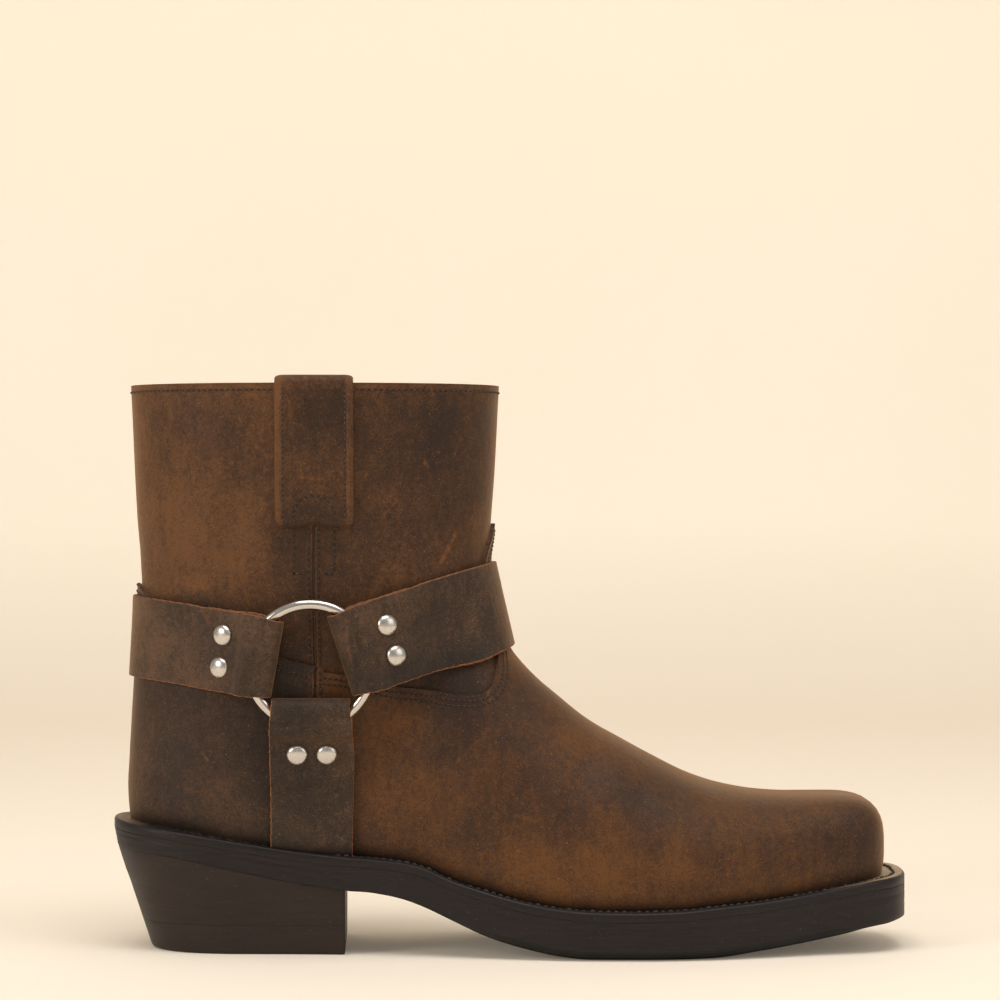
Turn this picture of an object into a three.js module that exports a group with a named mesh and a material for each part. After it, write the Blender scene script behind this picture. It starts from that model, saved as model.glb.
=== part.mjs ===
// A right harness boot: pull-on shaft, vamp and heel counter over it, three riveted straps held by
// a ring on each side, welted sole and stacked heel. Millimetres, +Z up, toe along +X, the outer
// side at -Y. The origin is under the middle of the boot, on the floor.
import * as THREE from "three";

// Driving sizes of the sole
const SOLE_LENGTH = 304;
const BALL_WIDTH = 106;
const SEAT_HEIGHT = 50; // top of the welt at the back
const BALL_THICKNESS = 18; // welt and outsole together under the ball
const HEEL_HEIGHT = 39.5; // underside of the outsole at the back
const TOE_SPRING = 12.6;
const WELT_THICKNESS = 3.7;
const WELT_WIDTH = 13;
const SOLE_BEVEL = 3.6; // rolled lower edge of the outsole
const HEEL_LENGTH = 89.6; // from the back of the outsole to the breast
const HEEL_UNDERCUT = 13; // how far the back of the heel runs in
const HEEL_TAPER = 3; // how far each side of the heel runs in
const TOP_LIFT = 11;
const INSOLE_THICKNESS = 2.8;
const INSOLE_EASE = 2; // between the insole's edge and the wall

// Driving sizes of the upper
const COLLAR_HEIGHT = 215;
const COLLAR_LENGTH = 141.8;
const COLLAR_WIDTH = 90;
const COLLAR_BACK = -145.8;
const INSTEP_HEIGHT = 137;
const TOE_HEIGHT = 57.4;
const BELLY_HEIGHT = 9; // from the welt to the widest level of the foot
const UPPER_WALL = 2;
const OVERLAY = 1.4; // leather of the vamp and of the heel counter
const MARGIN_SIDE = 6; // the welt stands out past the upper by this much
const MARGIN_TOE = 9.8;
const MARGIN_BACK = 12;
const TONGUE_PEAK = 162.3;
const TONGUE_WIDTH = 35;
const COUNTER_PEAK = 139.4;
const PANEL_SEAM = -73; // the vamp and the counter meet here, under the down strap

// Driving sizes of the harness and the pull straps
// Each strap: its width, its width where it is folded round the ring, how far from the ring's
// centre its rivets sit and how far apart, and where it has settled on the upper
const STRAPS = {
  front: { width: 32.6, fold: 31.3, rivetReach: 31.2, rivetPitch: 12, settleEnd: 48 },
  back: { width: 31, fold: 29.2, rivetReach: 33, rivetPitch: 12.4, settleEnd: 36 },
  down: { width: 31, fold: 29.6, rivetReach: 33, rivetPitch: 10.7, settleEnd: 36 },
};
const STRAP_THICKNESS = 2.3;
const RING_DIAMETER = 50;
const RING_WIRE = 4.1;
const RING_X = -74.3;
const RING_Z = 109.4;
const RIVET_DIAMETER = 7.7;
const RIVET_DOME = 2;
const STRAP_TAIL = 40; // where the tail under a folded end stops, from the ring's centre // folded end of a strap past its rivets
const STRAP_FRONT_Z = 131.2; // middle of the front strap at the front of the boot
const STRAP_BACK_Z = 119.3;
const PULL_WIDTH = 29.4;
const PULL_THICKNESS = 2.4;
const PULL_BOTTOM = 160.8;
const PULL_INSIDE = 176; // lower end of the pull strap inside the shaft
const PULL_X = -73.1;

const GAP = 0.3; // between pieces that touch
const STRAP_EASE = 0.65; // under a strap or a rivet's cap, which lie over curved pieces
const HALF = SOLE_LENGTH / 2;

// Outline of the outsole. at: share of the sole's length from its middle; outer, inner: share of
// the ball width from the middle plane to each side.
const OUTLINE = [
  { at: -0.5, outer: 0.333, inner: 0.317 },
  { at: -0.39, outer: 0.336, inner: 0.318 },
  { at: -0.29, outer: 0.339, inner: 0.311 },
  { at: -0.2, outer: 0.352, inner: 0.3 },
  { at: -0.1, outer: 0.4, inner: 0.31 },
  { at: 0, outer: 0.457, inner: 0.37 },
  { at: 0.09, outer: 0.494, inner: 0.447 },
  { at: 0.17, outer: 0.5, inner: 0.494 },
  { at: 0.23, outer: 0.48, inner: 0.5 },
  { at: 0.31, outer: 0.42, inner: 0.468 },
  { at: 0.4, outer: 0.335, inner: 0.395 },
  { at: 0.5, outer: 0.27, inner: 0.345 },
];
const TOE_ROUND = 30; // length over which the square toe's corners turn
const TOE_POWER = 3.2;
const HEEL_ROUND = 38;
const HEEL_POWER = 2.35;

// Side view of the sole. seat: top of the welt, as a share of the heel's rise over the ball;
// lift: top of the welt in front, as a share of the toe spring; under and tip: the same two
// for the underside, of the heel height and of the toe spring; roll: share of the bevel.
const SOLE_LINE = [
  { at: -0.5, seat: 1, lift: 0, under: 1, tip: 0, roll: 0 },
  { at: -0.41, seat: 0.885, lift: 0, under: 0.92, tip: 0, roll: 0 },
  { at: -0.35, seat: 0.79, lift: 0, under: 0.825, tip: 0, roll: 0 },
  { at: -0.27, seat: 0.672, lift: 0, under: 0.7, tip: 0, roll: 0 },
  { at: -0.2, seat: 0.6, lift: 0, under: 0.625, tip: 0, roll: 0 },
  { at: -0.165, seat: 0.578, lift: 0, under: 0.592, tip: 0, roll: 0.1 },
  { at: -0.13, seat: 0.542, lift: 0, under: 0.53, tip: 0, roll: 0.25 },
  { at: -0.105, seat: 0.484, lift: 0, under: 0.462, tip: 0, roll: 0.4 },
  { at: -0.07, seat: 0.344, lift: 0, under: 0.34, tip: 0, roll: 0.64 },
  { at: -0.025, seat: 0.212, lift: 0, under: 0.19, tip: 0, roll: 0.8 },
  { at: 0.02, seat: 0.103, lift: 0, under: 0.09, tip: 0, roll: 0.97 },
  { at: 0.066, seat: 0.034, lift: 0, under: 0.022, tip: 0, roll: 1 },
  { at: 0.1, seat: 0.008, lift: 0, under: 0, tip: 0, roll: 1 },
  { at: 0.15, seat: 0, lift: 0, under: 0, tip: 0, roll: 1 },
  { at: 0.21, seat: 0, lift: 0.032, under: 0, tip: 0, roll: 1 },
  { at: 0.25, seat: 0, lift: 0.12, under: 0, tip: 0.02, roll: 1 },
  { at: 0.313, seat: 0, lift: 0.25, under: 0, tip: 0.19, roll: 1 },
  { at: 0.365, seat: 0, lift: 0.405, under: 0, tip: 0.365, roll: 1 },
  { at: 0.418, seat: 0, lift: 0.61, under: 0, tip: 0.587, roll: 1 },
  { at: 0.457, seat: 0, lift: 0.755, under: 0, tip: 0.79, roll: 0.9 },
  { at: 0.5, seat: 0, lift: 0.857, under: 0, tip: 1, roll: 0.6 },
];

// The foot of the boot. top: height of its ridge, as a share of the way from the toe height to
// the instep height; power: how square the section is; pinch: share of the width kept.
const FOOT = [
  { at: -0.48, top: 0.3, power: 2.2, pinch: 0.9 },
  { at: -0.2, top: 0.95, power: 2.1, pinch: 0.94 },
  { at: -0.1, top: 0.98, power: 2, pinch: 0.98 },
  { at: -0.05, top: 0.93, power: 1.95, pinch: 1 },
  { at: -0.018, top: 0.79, power: 1.95, pinch: 1 },
  { at: 0.001, top: 0.685, power: 1.95, pinch: 1 },
  { at: 0.036, top: 0.54, power: 1.98, pinch: 1 },
  { at: 0.061, top: 0.46, power: 2, pinch: 1 },
  { at: 0.098, top: 0.353, power: 2.05, pinch: 1 },
  { at: 0.135, top: 0.272, power: 2.15, pinch: 1 },
  { at: 0.176, top: 0.187, power: 2.25, pinch: 1 },
  { at: 0.227, top: 0.092, power: 2.4, pinch: 1 },
  { at: 0.27, top: 0.04, power: 2.55, pinch: 1 },
  { at: 0.313, top: 0.012, power: 2.75, pinch: 1 },
  { at: 0.36, top: 0, power: 3, pinch: 1 },
  { at: 0.48, top: 0, power: 3.1, pinch: 1 },
];
const TOE_BOX_ROUND = 25;
const FEATHER_TUCK = 1.8; // the wall runs in by this much from its widest level to the welt

// The shaft and the heel. up: share of the collar height; front, back: share of the collar
// length, from the back of the collar; outer, inner: share of the collar width; power: how
// square the section is.
const SHAFT = [
  { up: 0.16, front: 0.7, back: 0.022, outer: 0.335, inner: 0.315, power: 2.35 },
  { up: 0.235, front: 0.74, back: 0.016, outer: 0.353, inner: 0.336, power: 2.3 },
  { up: 0.33, front: 0.83, back: 0.007, outer: 0.374, inner: 0.36, power: 2.25 },
  { up: 0.4, front: 0.88, back: 0.012, outer: 0.386, inner: 0.376, power: 2.2 },
  { up: 0.473, front: 0.93, back: 0.019, outer: 0.4, inner: 0.392, power: 2.2 },
  { up: 0.54, front: 0.965, back: 0.024, outer: 0.413, inner: 0.408, power: 2.2 },
  { up: 0.61, front: 0.974, back: 0.027, outer: 0.427, inner: 0.423, power: 2.2 },
  { up: 0.685, front: 0.968, back: 0.026, outer: 0.443, inner: 0.44, power: 2.2 },
  { up: 0.76, front: 0.978, back: 0.018, outer: 0.458, inner: 0.456, power: 2.2 },
  { up: 0.86, front: 0.99, back: 0.01, outer: 0.478, inner: 0.477, power: 2.2 },
  { up: 1, front: 1, back: 0, outer: 0.5, inner: 0.5, power: 2.2 },
];
const BLEND = 7; // the shaft runs into the foot over this much

// Upper edge of the vamp on each side, and of the counter, seen from the side. at: share of the
// sole's length; up: share of the tongue's or of the counter's peak height.
const VAMP_EDGE = [
  { at: -0.24, up: 0.66 },
  { at: -0.202, up: 0.651 },
  { at: -0.139, up: 0.622 },
  { at: -0.102, up: 0.613 },
  { at: -0.067, up: 0.602 },
  { at: -0.046, up: 0.6 },
];
const COUNTER_EDGE = [
  { at: -0.47, up: 1 },
  { at: -0.452, up: 0.974 },
  { at: -0.41, up: 0.9 },
  { at: -0.35, up: 0.838 },
  { at: -0.288, up: 0.805 },
  { at: -0.24, up: 0.78 },
];
// Half width of the vamp's tongue. up: share of the way from its root to its peak
const TONGUE = [
  { up: 0, half: 1 },
  { up: 0.3, half: 0.93 },
  { up: 0.6, half: 0.8 },
  { up: 0.8, half: 0.62 },
  { up: 0.92, half: 0.32 },
  { up: 1, half: 0.04 },
];

const clamp = THREE.MathUtils.clamp;
const lerp = THREE.MathUtils.lerp;
const smoothstep = THREE.MathUtils.smoothstep;
const point = (x, y, z) => new THREE.Vector3(x, y, z);

// A smooth line through a table's column that never overshoots its rows
function line(rows, key, column) {
  const xs = rows.map((row) => row[key]);
  const ys = rows.map((row) => row[column]);
  const last = xs.length - 1;
  const slope = xs.slice(1).map((x, i) => (ys[i + 1] - ys[i]) / (x - xs[i]));
  const bend = xs.map((_, i) => {
    if (i === 0) return slope[0];
    if (i === last) return slope[last - 1];
    if (slope[i - 1] * slope[i] <= 0) return 0;
    return (2 * slope[i - 1] * slope[i]) / (slope[i - 1] + slope[i]);
  });
  return (value) => {
    const x = clamp(value, xs[0], xs[last]);
    let i = 0;
    while (i < last - 1 && x > xs[i + 1]) i += 1;
    const h = xs[i + 1] - xs[i];
    const t = (x - xs[i]) / h;
    const flip = 1 - t;
    const ends = flip * flip * (1 + 2 * t) * ys[i] + t * t * (3 - 2 * t) * ys[i + 1];
    return ends + t * flip * h * (flip * bend[i] - t * bend[i + 1]);
  };
}

// Columns of the tables as functions of x or z in millimetres
const along = (rows, column) => {
  const share = line(rows, "at", column);
  return (x) => share(x / SOLE_LENGTH);
};
const upward = (rows, column) => {
  const share = line(rows, "up", column);
  return (z) => share(z / COLLAR_HEIGHT);
};
const outlineSide = { outer: along(OUTLINE, "outer"), inner: along(OUTLINE, "inner") };
const sole = Object.fromEntries(
  ["seat", "lift", "under", "tip", "roll"].map((name) => [name, along(SOLE_LINE, name)]),
);
const foot = Object.fromEntries(
  ["top", "power", "pinch"].map((name) => [name, along(FOOT, name)]),
);
const shaft = Object.fromEntries(
  ["front", "back", "outer", "inner", "power"].map((name) => [name, upward(SHAFT, name)]),
);

// Heights of the sole at a place along it
const seatHeight = (x) =>
  BALL_THICKNESS + (SEAT_HEIGHT - BALL_THICKNESS) * sole.seat(x) + TOE_SPRING * sole.lift(x);
const underHeight = (x) => HEEL_HEIGHT * sole.under(x) + TOE_SPRING * sole.tip(x);

// Places along the sole at which all its plates and the upper have their points, closer at the
// ends, where the outline turns
const STATIONS = 30;
const STATION_X = Array.from({ length: STATIONS + 1 }, (_, i) => {
  const turned = (1 - Math.cos((Math.PI * i) / STATIONS)) / 2;
  return lerp(-HALF, HALF, lerp(i / STATIONS, turned, 0.62));
});
// The same places for an outline that lies inside the sole's: only the ends move in
const END_REACH = 60;
const insetStations = (inset) =>
  STATION_X.map((x) => {
    const ahead = clamp((x - HALF + END_REACH) / END_REACH, 0, 1);
    const behind = clamp((-HALF + END_REACH - x) / END_REACH, 0, 1);
    return x - inset.toe * ahead * ahead + inset.back * behind * behind;
  });

// Half width of the sole to one side, inset by the margins given, rounded at both ends
function soleReach(x, side, inset) {
  const front = HALF - inset.toe;
  const back = -HALF + inset.back;
  const toeStart = front - TOE_ROUND;
  const heelStart = back + HEEL_ROUND;
  const wide = BALL_WIDTH * outlineSide[side](x) - inset.side;
  const toe = clamp((x - toeStart) / (front - toeStart), 0, 1);
  const heel = clamp((heelStart - x) / (heelStart - back), 0, 1);
  const middle = toeMiddle(side) * smoothstep(x, toeStart, front);
  const toeShare = Math.pow(1 - Math.pow(toe, TOE_POWER), 1 / TOE_POWER);
  const heelShare = Math.pow(1 - Math.pow(heel, HEEL_POWER), 1 / HEEL_POWER);
  return (wide - middle) * toeShare * heelShare + middle;
}
// The tip of the toe lies to the inner side by half the difference of the two sides there
function toeMiddle(side) {
  const lean = (BALL_WIDTH * (outlineSide.inner(HALF) - outlineSide.outer(HALF))) / 2;
  return side === "inner" ? lean : -lean;
}
const middleLine = (x) =>
  (BALL_WIDTH * (outlineSide.inner(x) - outlineSide.outer(x))) / 2;

// The form of the upper as a field: below zero inside, about a distance in millimetres near it
function footField(x, y, z) {
  const low = seatHeight(x);
  const top = TOE_HEIGHT + (INSTEP_HEIGHT - TOE_HEIGHT) * foot.top(x);
  const middle = middleLine(x);
  const half =
    (BALL_WIDTH * (outlineSide.inner(x) + outlineSide.outer(x))) / 2 - MARGIN_SIDE;
  const rise = z - low;
  const tuck = FEATHER_TUCK * Math.pow(clamp(1 - rise / BELLY_HEIGHT, 0, 1), 2);
  const wide = half * foot.pinch(x) - tuck;
  const power = foot.power(x);
  const tip = HALF - MARGIN_TOE - 0.6 * tuck;
  const heel = -HALF + MARGIN_BACK + HEEL_ROUND;
  const across = Math.abs(y - middle) / wide;
  const above = Math.max(0, rise - BELLY_HEIGHT) / (top - low - BELLY_HEIGHT);
  const ahead = Math.max(0, x - tip + TOE_BOX_ROUND) / TOE_BOX_ROUND;
  const behind = Math.max(0, heel - x) / HEEL_ROUND;
  const sum =
    Math.pow(across, power) +
    Math.pow(above, power) +
    Math.pow(ahead, power) +
    Math.pow(behind, power);
  return (Math.pow(sum, 1 / power) - 1) * Math.min(wide, top - low);
}
function shaftField(x, y, z) {
  const back = COLLAR_BACK + COLLAR_LENGTH * shaft.back(z);
  const front = COLLAR_BACK + COLLAR_LENGTH * shaft.front(z);
  const tuck = FEATHER_TUCK * Math.pow(clamp(1 - (z - seatHeight(x)) / BELLY_HEIGHT, 0, 1), 2);
  const side = y < 0 ? shaft.outer(z) : shaft.inner(z);
  const wide = COLLAR_WIDTH * side - tuck;
  const half = (front - back) / 2 - tuck / 2;
  const power = shaft.power(z);
  const sum =
    Math.pow(Math.abs(x - (front + back) / 2) / half, power) +
    Math.pow(Math.abs(y) / wide, power);
  return (Math.pow(sum, 1 / power) - 1) * wide;
}
function form(x, y, z) {
  const a = footField(x, y, z);
  const b = shaftField(x, y, z);
  const mix = Math.max(0, BLEND - Math.abs(a - b));
  return Math.min(a, b) - (mix * mix) / (4 * BLEND);
}
function formNormal(p) {
  const step = 0.05;
  return point(
    form(p.x + step, p.y, p.z) - form(p.x - step, p.y, p.z),
    form(p.x, p.y + step, p.z) - form(p.x, p.y - step, p.z),
    form(p.x, p.y, p.z + step) - form(p.x, p.y, p.z - step),
  ).normalize();
}

// Where a ray from inside leaves the form
function castOut(from, direction) {
  const at = (reach) =>
    form(
      from.x + direction.x * reach,
      from.y + direction.y * reach,
      from.z + direction.z * reach,
    );
  const stride = 3;
  let far = stride;
  while (at(far) < 0 && far < 2 * SOLE_LENGTH) far += stride;
  let near = far - stride;
  for (let i = 0; i < 26; i += 1) {
    const middle = (near + far) / 2;
    if (at(middle) < 0) near = middle;
    else far = middle;
  }
  return from.clone().addScaledVector(direction, near);
}
const raise = (p, height) => p.clone().addScaledVector(formNormal(p), height);
// On the side of the boot, at a place seen from the side
const onSide = (x, z, side) =>
  castOut(point(x, middleLine(x) * 0.5, z), point(0, side === "outer" ? -1 : 1, 0));
// Around the shaft: turn 0 is the outer side, a quarter turn the front, three quarters the back
const AXIS_X = RING_X;
function around(turn, z) {
  const angle = turn * 2 * Math.PI;
  return castOut(point(AXIS_X, 0, z), point(Math.sin(angle), -Math.cos(angle), 0));
}

// A closed skin: faces that meet back to back cancel, so patches side by side become one body
class Skin {
  constructor() {
    this.points = [];
    this.ids = new Map();
    this.faces = new Map();
  }
  id(p) {
    const key = [p.x, p.y, p.z].map((v) => Math.round(v * 2000)).join();
    if (!this.ids.has(key)) {
      this.ids.set(key, this.points.length);
      this.points.push(p.clone());
    }
    return this.ids.get(key);
  }
  triangle(a, b, c) {
    if (a === b || b === c || c === a) return;
    const key = [a, b, c].sort((i, j) => i - j).join();
    if (this.faces.has(key)) this.faces.delete(key);
    else this.faces.set(key, [a, b, c]);
  }
  quad(...corners) {
    const ids = corners.map((p) => this.id(p));
    const first = ids.indexOf(Math.min(...ids));
    const [a, b, c, d] = [0, 1, 2, 3].map((i) => ids[(first + i) % 4]);
    this.triangle(a, b, c);
    this.triangle(a, c, d);
  }
  // The slab between two sheets of the same grid
  slab(outer, inner) {
    const rows = outer.length - 1;
    const columns = outer[0].length - 1;
    for (let r = 0; r < rows; r += 1)
      for (let c = 0; c < columns; c += 1) {
        this.quad(outer[r][c], outer[r][c + 1], outer[r + 1][c + 1], outer[r + 1][c]);
        this.quad(inner[r][c], inner[r + 1][c], inner[r + 1][c + 1], inner[r][c + 1]);
      }
    for (let c = 0; c < columns; c += 1) {
      this.quad(outer[0][c], inner[0][c], inner[0][c + 1], outer[0][c + 1]);
      this.quad(outer[rows][c], outer[rows][c + 1], inner[rows][c + 1], inner[rows][c]);
    }
    for (let r = 0; r < rows; r += 1) {
      this.quad(outer[r][0], outer[r + 1][0], inner[r + 1][0], inner[r][0]);
      this.quad(
        outer[r][columns],
        inner[r][columns],
        inner[r + 1][columns],
        outer[r + 1][columns],
      );
    }
    return this;
  }
  geometry() {
    const faces = [...this.faces.values()];
    const volume = faces.reduce((sum, [a, b, c]) => {
      const cross = this.points[b].clone().cross(this.points[c]);
      return sum + this.points[a].dot(cross);
    }, 0);
    if (volume < 0) faces.forEach((face) => face.reverse());
    const positions = this.points.flatMap((p) => [p.x, p.y, p.z]);
    const geometry = new THREE.BufferGeometry();
    geometry.setAttribute("position", new THREE.Float32BufferAttribute(positions, 3));
    geometry.setIndex(faces.flat());
    return geometry;
  }
}
const grid = (rows, columns, make) =>
  Array.from({ length: rows + 1 }, (_, r) =>
    Array.from({ length: columns + 1 }, (_, c) => make(r / rows, c / columns)),
  );

// Where the upper meets the welt at the back of the heel
const featherBack = () => castOut(point(-HALF / 2, 0, SEAT_HEIGHT), point(-1, 0, 0)).x;

// The upper is gone over by sections that fan round the toe, stand across the foot, lean over
// the instep and lie level at the collar. Each has a lower place, a lean and a start between.
const FAN_X = 92;
const TOE_SECTIONS = 6;
const SHAFT_SECTIONS = 8;
const HEEL_STEPS = [0, 0.6, 3, 8, 15]; // places of sections from the back of the heel
function sections() {
  const toe = Array.from({ length: TOE_SECTIONS }, (_, i) => {
    const lean = (i / TOE_SECTIONS) * 90;
    return { x: FAN_X, z: seatHeight(FAN_X), lean, start: 0, floor: true };
  });
  const back = (z) => COLLAR_BACK + COLLAR_LENGTH * shaft.back(z);
  const heelBack = featherBack();
  const leanAlong = line(
    [
      { at: 0, lean: 90 },
      { at: 0.25, lean: 88 },
      { at: 0.45, lean: 72 },
      { at: 0.7, lean: 52 },
      { at: 0.85, lean: 42 },
      { at: 1, lean: 34 },
    ],
    "at",
    "lean",
  );
  const heelPlaces = HEEL_STEPS.map((step) => heelBack + step);
  const footPlaces = STATION_X.filter(
    (x) => x > heelPlaces[heelPlaces.length - 1] + 4 && x < FAN_X - 4,
  );
  const feet = [...heelPlaces, ...footPlaces, FAN_X].reverse().map((x) => {
    const share = (FAN_X - x) / (FAN_X - heelBack);
    return {
      x,
      z: seatHeight(x),
      lean: leanAlong(share),
      start: 0.45 * smoothstep(share, 0.2, 1),
      floor: true,
    };
  });
  const rise = Array.from({ length: SHAFT_SECTIONS }, (_, i) => {
    const share = (i + 1) / SHAFT_SECTIONS;
    const z = lerp(seatHeight(heelBack), COLLAR_HEIGHT, share);
    return { x: back(z), z, lean: 34 * (1 - share), start: 0.45, floor: false };
  });
  return [...toe, ...feet, ...rise];
}

// One section: rays from its start, from the welt or the back seam on the outer side over to the
// inner side
const COLUMNS = 26;
function sectionPoints(section) {
  const lean = THREE.MathUtils.degToRad(section.lean);
  const up = point(Math.cos(lean), 0, Math.sin(lean));
  const low = point(section.x, section.floor ? middleLine(section.x) : 0, section.z);
  const length = castOut(low.clone().addScaledVector(up, 1), up).distanceTo(low);
  const from = low.clone().addScaledVector(up, section.start * length);
  let first = -Math.PI / 2;
  let last = (3 * Math.PI) / 2;
  if (section.floor) {
    const outer = castOut(low, point(0, -1, 0));
    const inner = castOut(low, point(0, 1, 0));
    first = -Math.atan2(section.start * length, from.y - outer.y);
    last = Math.PI + Math.atan2(section.start * length, inner.y - from.y);
  }
  const at = (share) => {
    const angle = lerp(first, last, share);
    return castOut(from, point(0, -Math.cos(angle), 0).addScaledVector(up, Math.sin(angle)));
  };
  return Array.from({ length: COLUMNS + 1 }, (_, c) => at(c / COLUMNS));
}
// Puts a point on the welt's top, moved in from the wall by the depth given
function onWelt(p, depth) {
  const out = formNormal(p).setZ(0).normalize();
  const moved = p.clone().addScaledVector(out, -depth);
  moved.z = seatHeight(moved.x) + GAP;
  return moved;
}

// Where the shaft runs into the foot the form is hollow, and flat facets would stand over it. The
// upper lies this much deeper there.
const HOLLOW_SINK = 0.5;
function hollowSink(p) {
  const apart = Math.abs(footField(p.x, p.y, p.z) - shaftField(p.x, p.y, p.z));
  return HOLLOW_SINK * (1 - smoothstep(apart, BLEND, 2.5 * BLEND));
}

function upper() {
  const list = sections();
  const surface = list.map(sectionPoints);
  const floorRows = list.filter((section) => section.floor).length - 1;
  const collar = list.length - 1;
  const sheet = (depth) =>
    surface.map((row, r) =>
      row.map((p, c) => {
        const edge = r === 0 || (r <= floorRows && (c === 0 || c === row.length - 1));
        if (edge) return onWelt(p, depth);
        const moved = raise(p, -depth - hollowSink(p));
        if (r === collar) moved.z = COLLAR_HEIGHT;
        return moved;
      }),
    );
  return new Skin().slab(sheet(0), sheet(UPPER_WALL)).geometry();
}

// Panels over the upper. Their points stand at these heights over the welt, then evenly to the top.
const LOW_ROWS = [0, BELLY_HEIGHT / 2, BELLY_HEIGHT * 1.2];
function panelHeight(low, top, row, rows) {
  const lowRows = LOW_ROWS.length - 1;
  if (row <= lowRows) return low + LOW_ROWS[row];
  return lerp(low + LOW_ROWS[lowRows], top, (row - lowRows) / (rows - lowRows));
}
const vampEdge = (x) => TONGUE_PEAK * line(VAMP_EDGE, "at", "up")(x / SOLE_LENGTH);
const counterEdge = (x) => COUNTER_PEAK * line(COUNTER_EDGE, "at", "up")(x / SOLE_LENGTH);

function overlay(patches) {
  const skin = new Skin();
  patches.forEach((patch) => {
    const lift = (height) =>
      patch.map((row) => row.map((p) => (p.onSole ? onWelt(p, -height) : raise(p, height))));
    skin.slab(lift(GAP + OVERLAY), lift(GAP));
  });
  return skin.geometry();
}
const markFloor = (p) => Object.assign(p, { onSole: true });

// Columns of the vamp that run on into each wing; those between go up the tongue
const WING = 10;
function vamp() {
  const list = sections();
  const splitX = SOLE_LENGTH * VAMP_EDGE[VAMP_EDGE.length - 1].at;
  const splitZ = vampEdge(splitX);
  // the section whose side passes the corner between the wing and the tongue
  const corner = list.findIndex(
    (s) => s.floor && s.lean < 90 && s.x + (splitZ - s.z) / Math.tan((s.lean * Math.PI) / 180) < splitX,
  );
  const rows = list.slice(0, corner);
  const last = { ...list[corner] };
  last.x = splitX - (splitZ - last.z) / Math.tan((last.lean * Math.PI) / 180);
  rows.push(last);
  const front = rows.map((section, r) =>
    sectionPoints(section).map((p, c) =>
      r === 0 || c === 0 || c === COLUMNS ? markFloor(p) : p,
    ),
  );
  const edge = front[front.length - 1];
  // the tongue
  const tongueHalf = line(TONGUE, "up", "half");
  const root = edge.slice(WING, COLUMNS - WING + 1);
  const tongue = grid(9, root.length - 1, (r, c) => {
    const start = root[Math.round(c * (root.length - 1))];
    if (r === 0) return start;
    const z = lerp(start.z, TONGUE_PEAK, r);
    const half = (TONGUE_WIDTH / 2) * tongueHalf(r);
    const y = lerp(start.y, (2 * c - 1) * half, smoothstep(r, 0, 0.25));
    return castOut(point(AXIS_X, y, z), point(1, 0, 0));
  });
  // the wings back to the seam
  const side = (name) => {
    const from = name === "outer" ? edge.slice(0, WING + 1) : edge.slice(COLUMNS - WING);
    const low = name === "outer" ? from[0] : from[WING];
    const places = STATION_X.filter((x) => x < low.x - 3 && x > PANEL_SEAM + 3).reverse();
    places.push(PANEL_SEAM + GAP);
    const rowsBack = places.map((place, r) => {
      const share = (r + 1) / places.length;
      return from.map((start, c) => {
        const row = name === "outer" ? c : WING - c;
        const x = row === 0 ? place : lerp(start.x + place - low.x, place, share);
        const seat = seatHeight(x);
        const top = vampEdge(x);
        const startShare = (start.z - seatHeight(start.x)) / (vampEdge(start.x) - seatHeight(start.x));
        const even = panelHeight(seat, top, row, WING);
        const z = row === WING ? top : lerp(lerp(seat, top, startShare), even, smoothstep(share, 0, 0.6));
        const p = onSide(x, row === 0 ? seat : z, name);
        return row === 0 ? markFloor(p) : p;
      });
    });
    return [from, ...rowsBack];
  };
  return overlay([front, tongue, side("outer"), side("inner")]);
}

function counter() {
  const turns = 30;
  const levels = 7;
  const patch = grid(turns, levels, (r, c) => {
    const turn = -r / 2;
    const first = around(turn, SEAT_HEIGHT);
    let top = around(turn, counterEdge(first.x));
    for (let i = 0; i < 3; i += 1) top = around(turn, counterEdge(Math.min(top.x, PANEL_SEAM)));
    let p = around(turn, panelHeight(seatHeight(top.x), top.z, Math.round(c * levels), levels));
    if (c === 0) {
      p = around(turn, seatHeight(p.x));
      return markFloor(p);
    }
    if (r === 0 || r === 1) p = onSide(PANEL_SEAM - GAP, p.z, r === 0 ? "outer" : "inner");
    return p;
  });
  patch[0][0] = markFloor(onSide(PANEL_SEAM - GAP, seatHeight(PANEL_SEAM), "outer"));
  patch[turns][0] = markFloor(onSide(PANEL_SEAM - GAP, seatHeight(PANEL_SEAM), "inner"));
  return overlay([patch]);
}

// One level of a plate of the sole: for each station the outer and the inner edge
function level(inset, height, places = insetStations(inset)) {
  return places.map((x) => {
    const outer = point(x, -soleReach(x, "outer", inset), 0);
    const inner = point(x, soleReach(x, "inner", inset), 0);
    outer.z = height(x);
    inner.z = height(x);
    return [outer, inner];
  });
}
// The same for a line inside the upper, at a depth from its outer face and over the welt
function featherLevel(depth, height) {
  const tip = castOut(point(0, middleLine(HALF), seatHeight(HALF)), point(1, 0, 0)).x;
  const ends = { toe: HALF - tip + 0.6, back: featherBack() + HALF + 0.6 };
  return insetStations(ends).map((x) => {
    const from = point(x, middleLine(x), seatHeight(x));
    return [-1, 1].map((side) => {
      const moved = onWelt(castOut(from, point(0, side, 0)), depth);
      return moved.setZ(seatHeight(moved.x) + height);
    });
  });
}
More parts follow.
